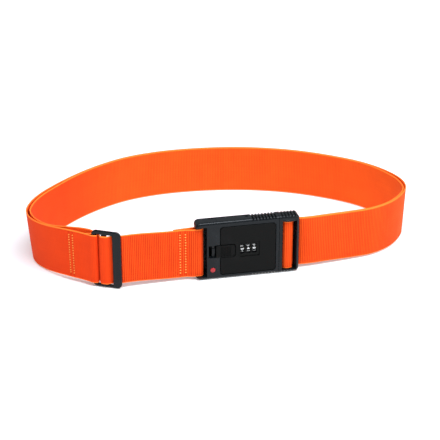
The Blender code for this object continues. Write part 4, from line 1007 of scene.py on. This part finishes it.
def dot():
    """The plain red dot: a domed disc."""
    profile = [(DOT_R, 0.4), (DOT_R, 0.0), (DOT_R - 0.15, -0.15), (DOT_R * 0.7, -0.24), (DOT_R * 0.35, -0.28)]
    disc = loft("dot", [[(x, y, z) for x, z in circle(DOT_X, DOT_Z, r, 48)] for r, y in profile])
    hard_piece(disc, "red_dot", "red_marker", "housing", "inspection_dot")


# ---- finish of the CAD pieces that stay ------------------------------------------------------
NODE_FINISH = {
    "zinc": "lock_yoke latch_bolt_upper latch_bolt_lower fence_bar key_sleeve key_cam reset_pin",
    "brass": "code_sleeve_1 code_sleeve_2 code_sleeve_3 key_plug",
    "steel": "housing_strap_bar tongue_strap_bar case_screw_1 case_screw_2 case_screw_3 case_screw_4"
             " dial_spindle spindle_clip detent_spring slider_spring latch_spring reset_spring",
}


def finish_cad_nodes():
    """Metal for the CAD solids that are shown as they are."""
    for finish, names in NODE_FINISH.items():
        for name in names.split():
            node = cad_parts[name]
            node.data.materials.clear()
            node.data.materials.append(MATERIALS[finish])


# ---- studio ----------------------------------------------------------------------------------
def area_light(name, location, target, size, power, colour):
    """A soft box at a location in metres, facing a target; its power in watts."""
    light = bpy.data.lights.new(name, "AREA")
    light.shape = "RECTANGLE"
    light.size, light.size_y = size
    light.energy = power
    light.color = colour
    obj = add_object(name, light)
    obj.location = location
    obj.rotation_euler = (Vector(target) - Vector(location)).to_track_quat("-Z", "Y").to_euler()


FLOOR_HALF = 5.0                    # metres
FLOOR_GLOW = (0.35, 1.0, 0.17, 0.75)        # from and to these distances in metres, and its strength there
WORLD_STRENGTH = 0.40


def studio():
    """A pale floor that fades to white away from the object, a soft surround and two soft boxes."""
    bm = bmesh.new()
    bmesh.ops.create_grid(bm, x_segments=1, y_segments=1, size=FLOOR_HALF)
    mesh = mesh_of("floor", bm)
    n = Nodes("floor_white", (0.80, 0.80, 0.80), 0.9)
    n.colour(n.mix(n.noise(3.0), (0.795, 0.795, 0.795), (0.805, 0.805, 0.805)))
    n.shader.inputs["Emission Color"].default_value = (1.0, 1.0, 1.0, 1.0)
    away = n.node("ShaderNodeVectorMath", operation="LENGTH")
    n.join(n.position(), away.inputs[0])
    n.join(n.spread(away.outputs["Value"], *FLOOR_GLOW), n.shader.inputs["Emission Strength"])
    mesh.materials.append(n.material)
    floor = add_object("floor", mesh)
    floor.location.z = -0.0005      # just under the strap's lower edge

    world = bpy.data.worlds.new("studio")
    world.use_nodes = True
    surround = world.node_tree.nodes["Background"]
    surround.inputs["Color"].default_value = (0.93, 0.96, 1.0, 1.0)
    surround.inputs["Strength"].default_value = WORLD_STRENGTH
    bpy.context.scene.world = world

    area_light("key_light", location=(1.05, -0.85, 0.95), target=(0.0, 0.0, 0.03), size=(0.8, 0.6),
               power=10.3, colour=(1.0, 0.985, 0.96))
    area_light("top_light", location=(0.05, -0.42, 1.10), target=(0.0, -0.08, 0.05), size=(1.3, 0.50),
               power=22.0, colour=(0.86, 0.92, 1.0))


def camera():
    """The photograph's viewpoint: position and angles fitted to it."""
    cam = bpy.data.cameras.new("camera")
    cam.sensor_width = SENSOR_MM
    cam.lens = SENSOR_MM * FOCAL_PX / FRAME_PX
    cam.clip_start = 0.05
    obj = add_object("camera", cam)
    obj.location = Vector((BUCKLE_X, BUCKLE_Y, CAMERA_Z)) + CAMERA_FROM_BUCKLE
    obj.rotation_euler = (math.radians(90.0 - CAMERA_DOWN), 0.0, math.radians(-CAMERA_RIGHT))
    bpy.context.scene.camera = obj


camera()
studio()
bpy.context.scene.view_settings.view_transform = "Standard"
finish_cad_nodes()
housing()
cover()
slider()
tongue()
glide()
wheels()
dot()
strap()
numerals()
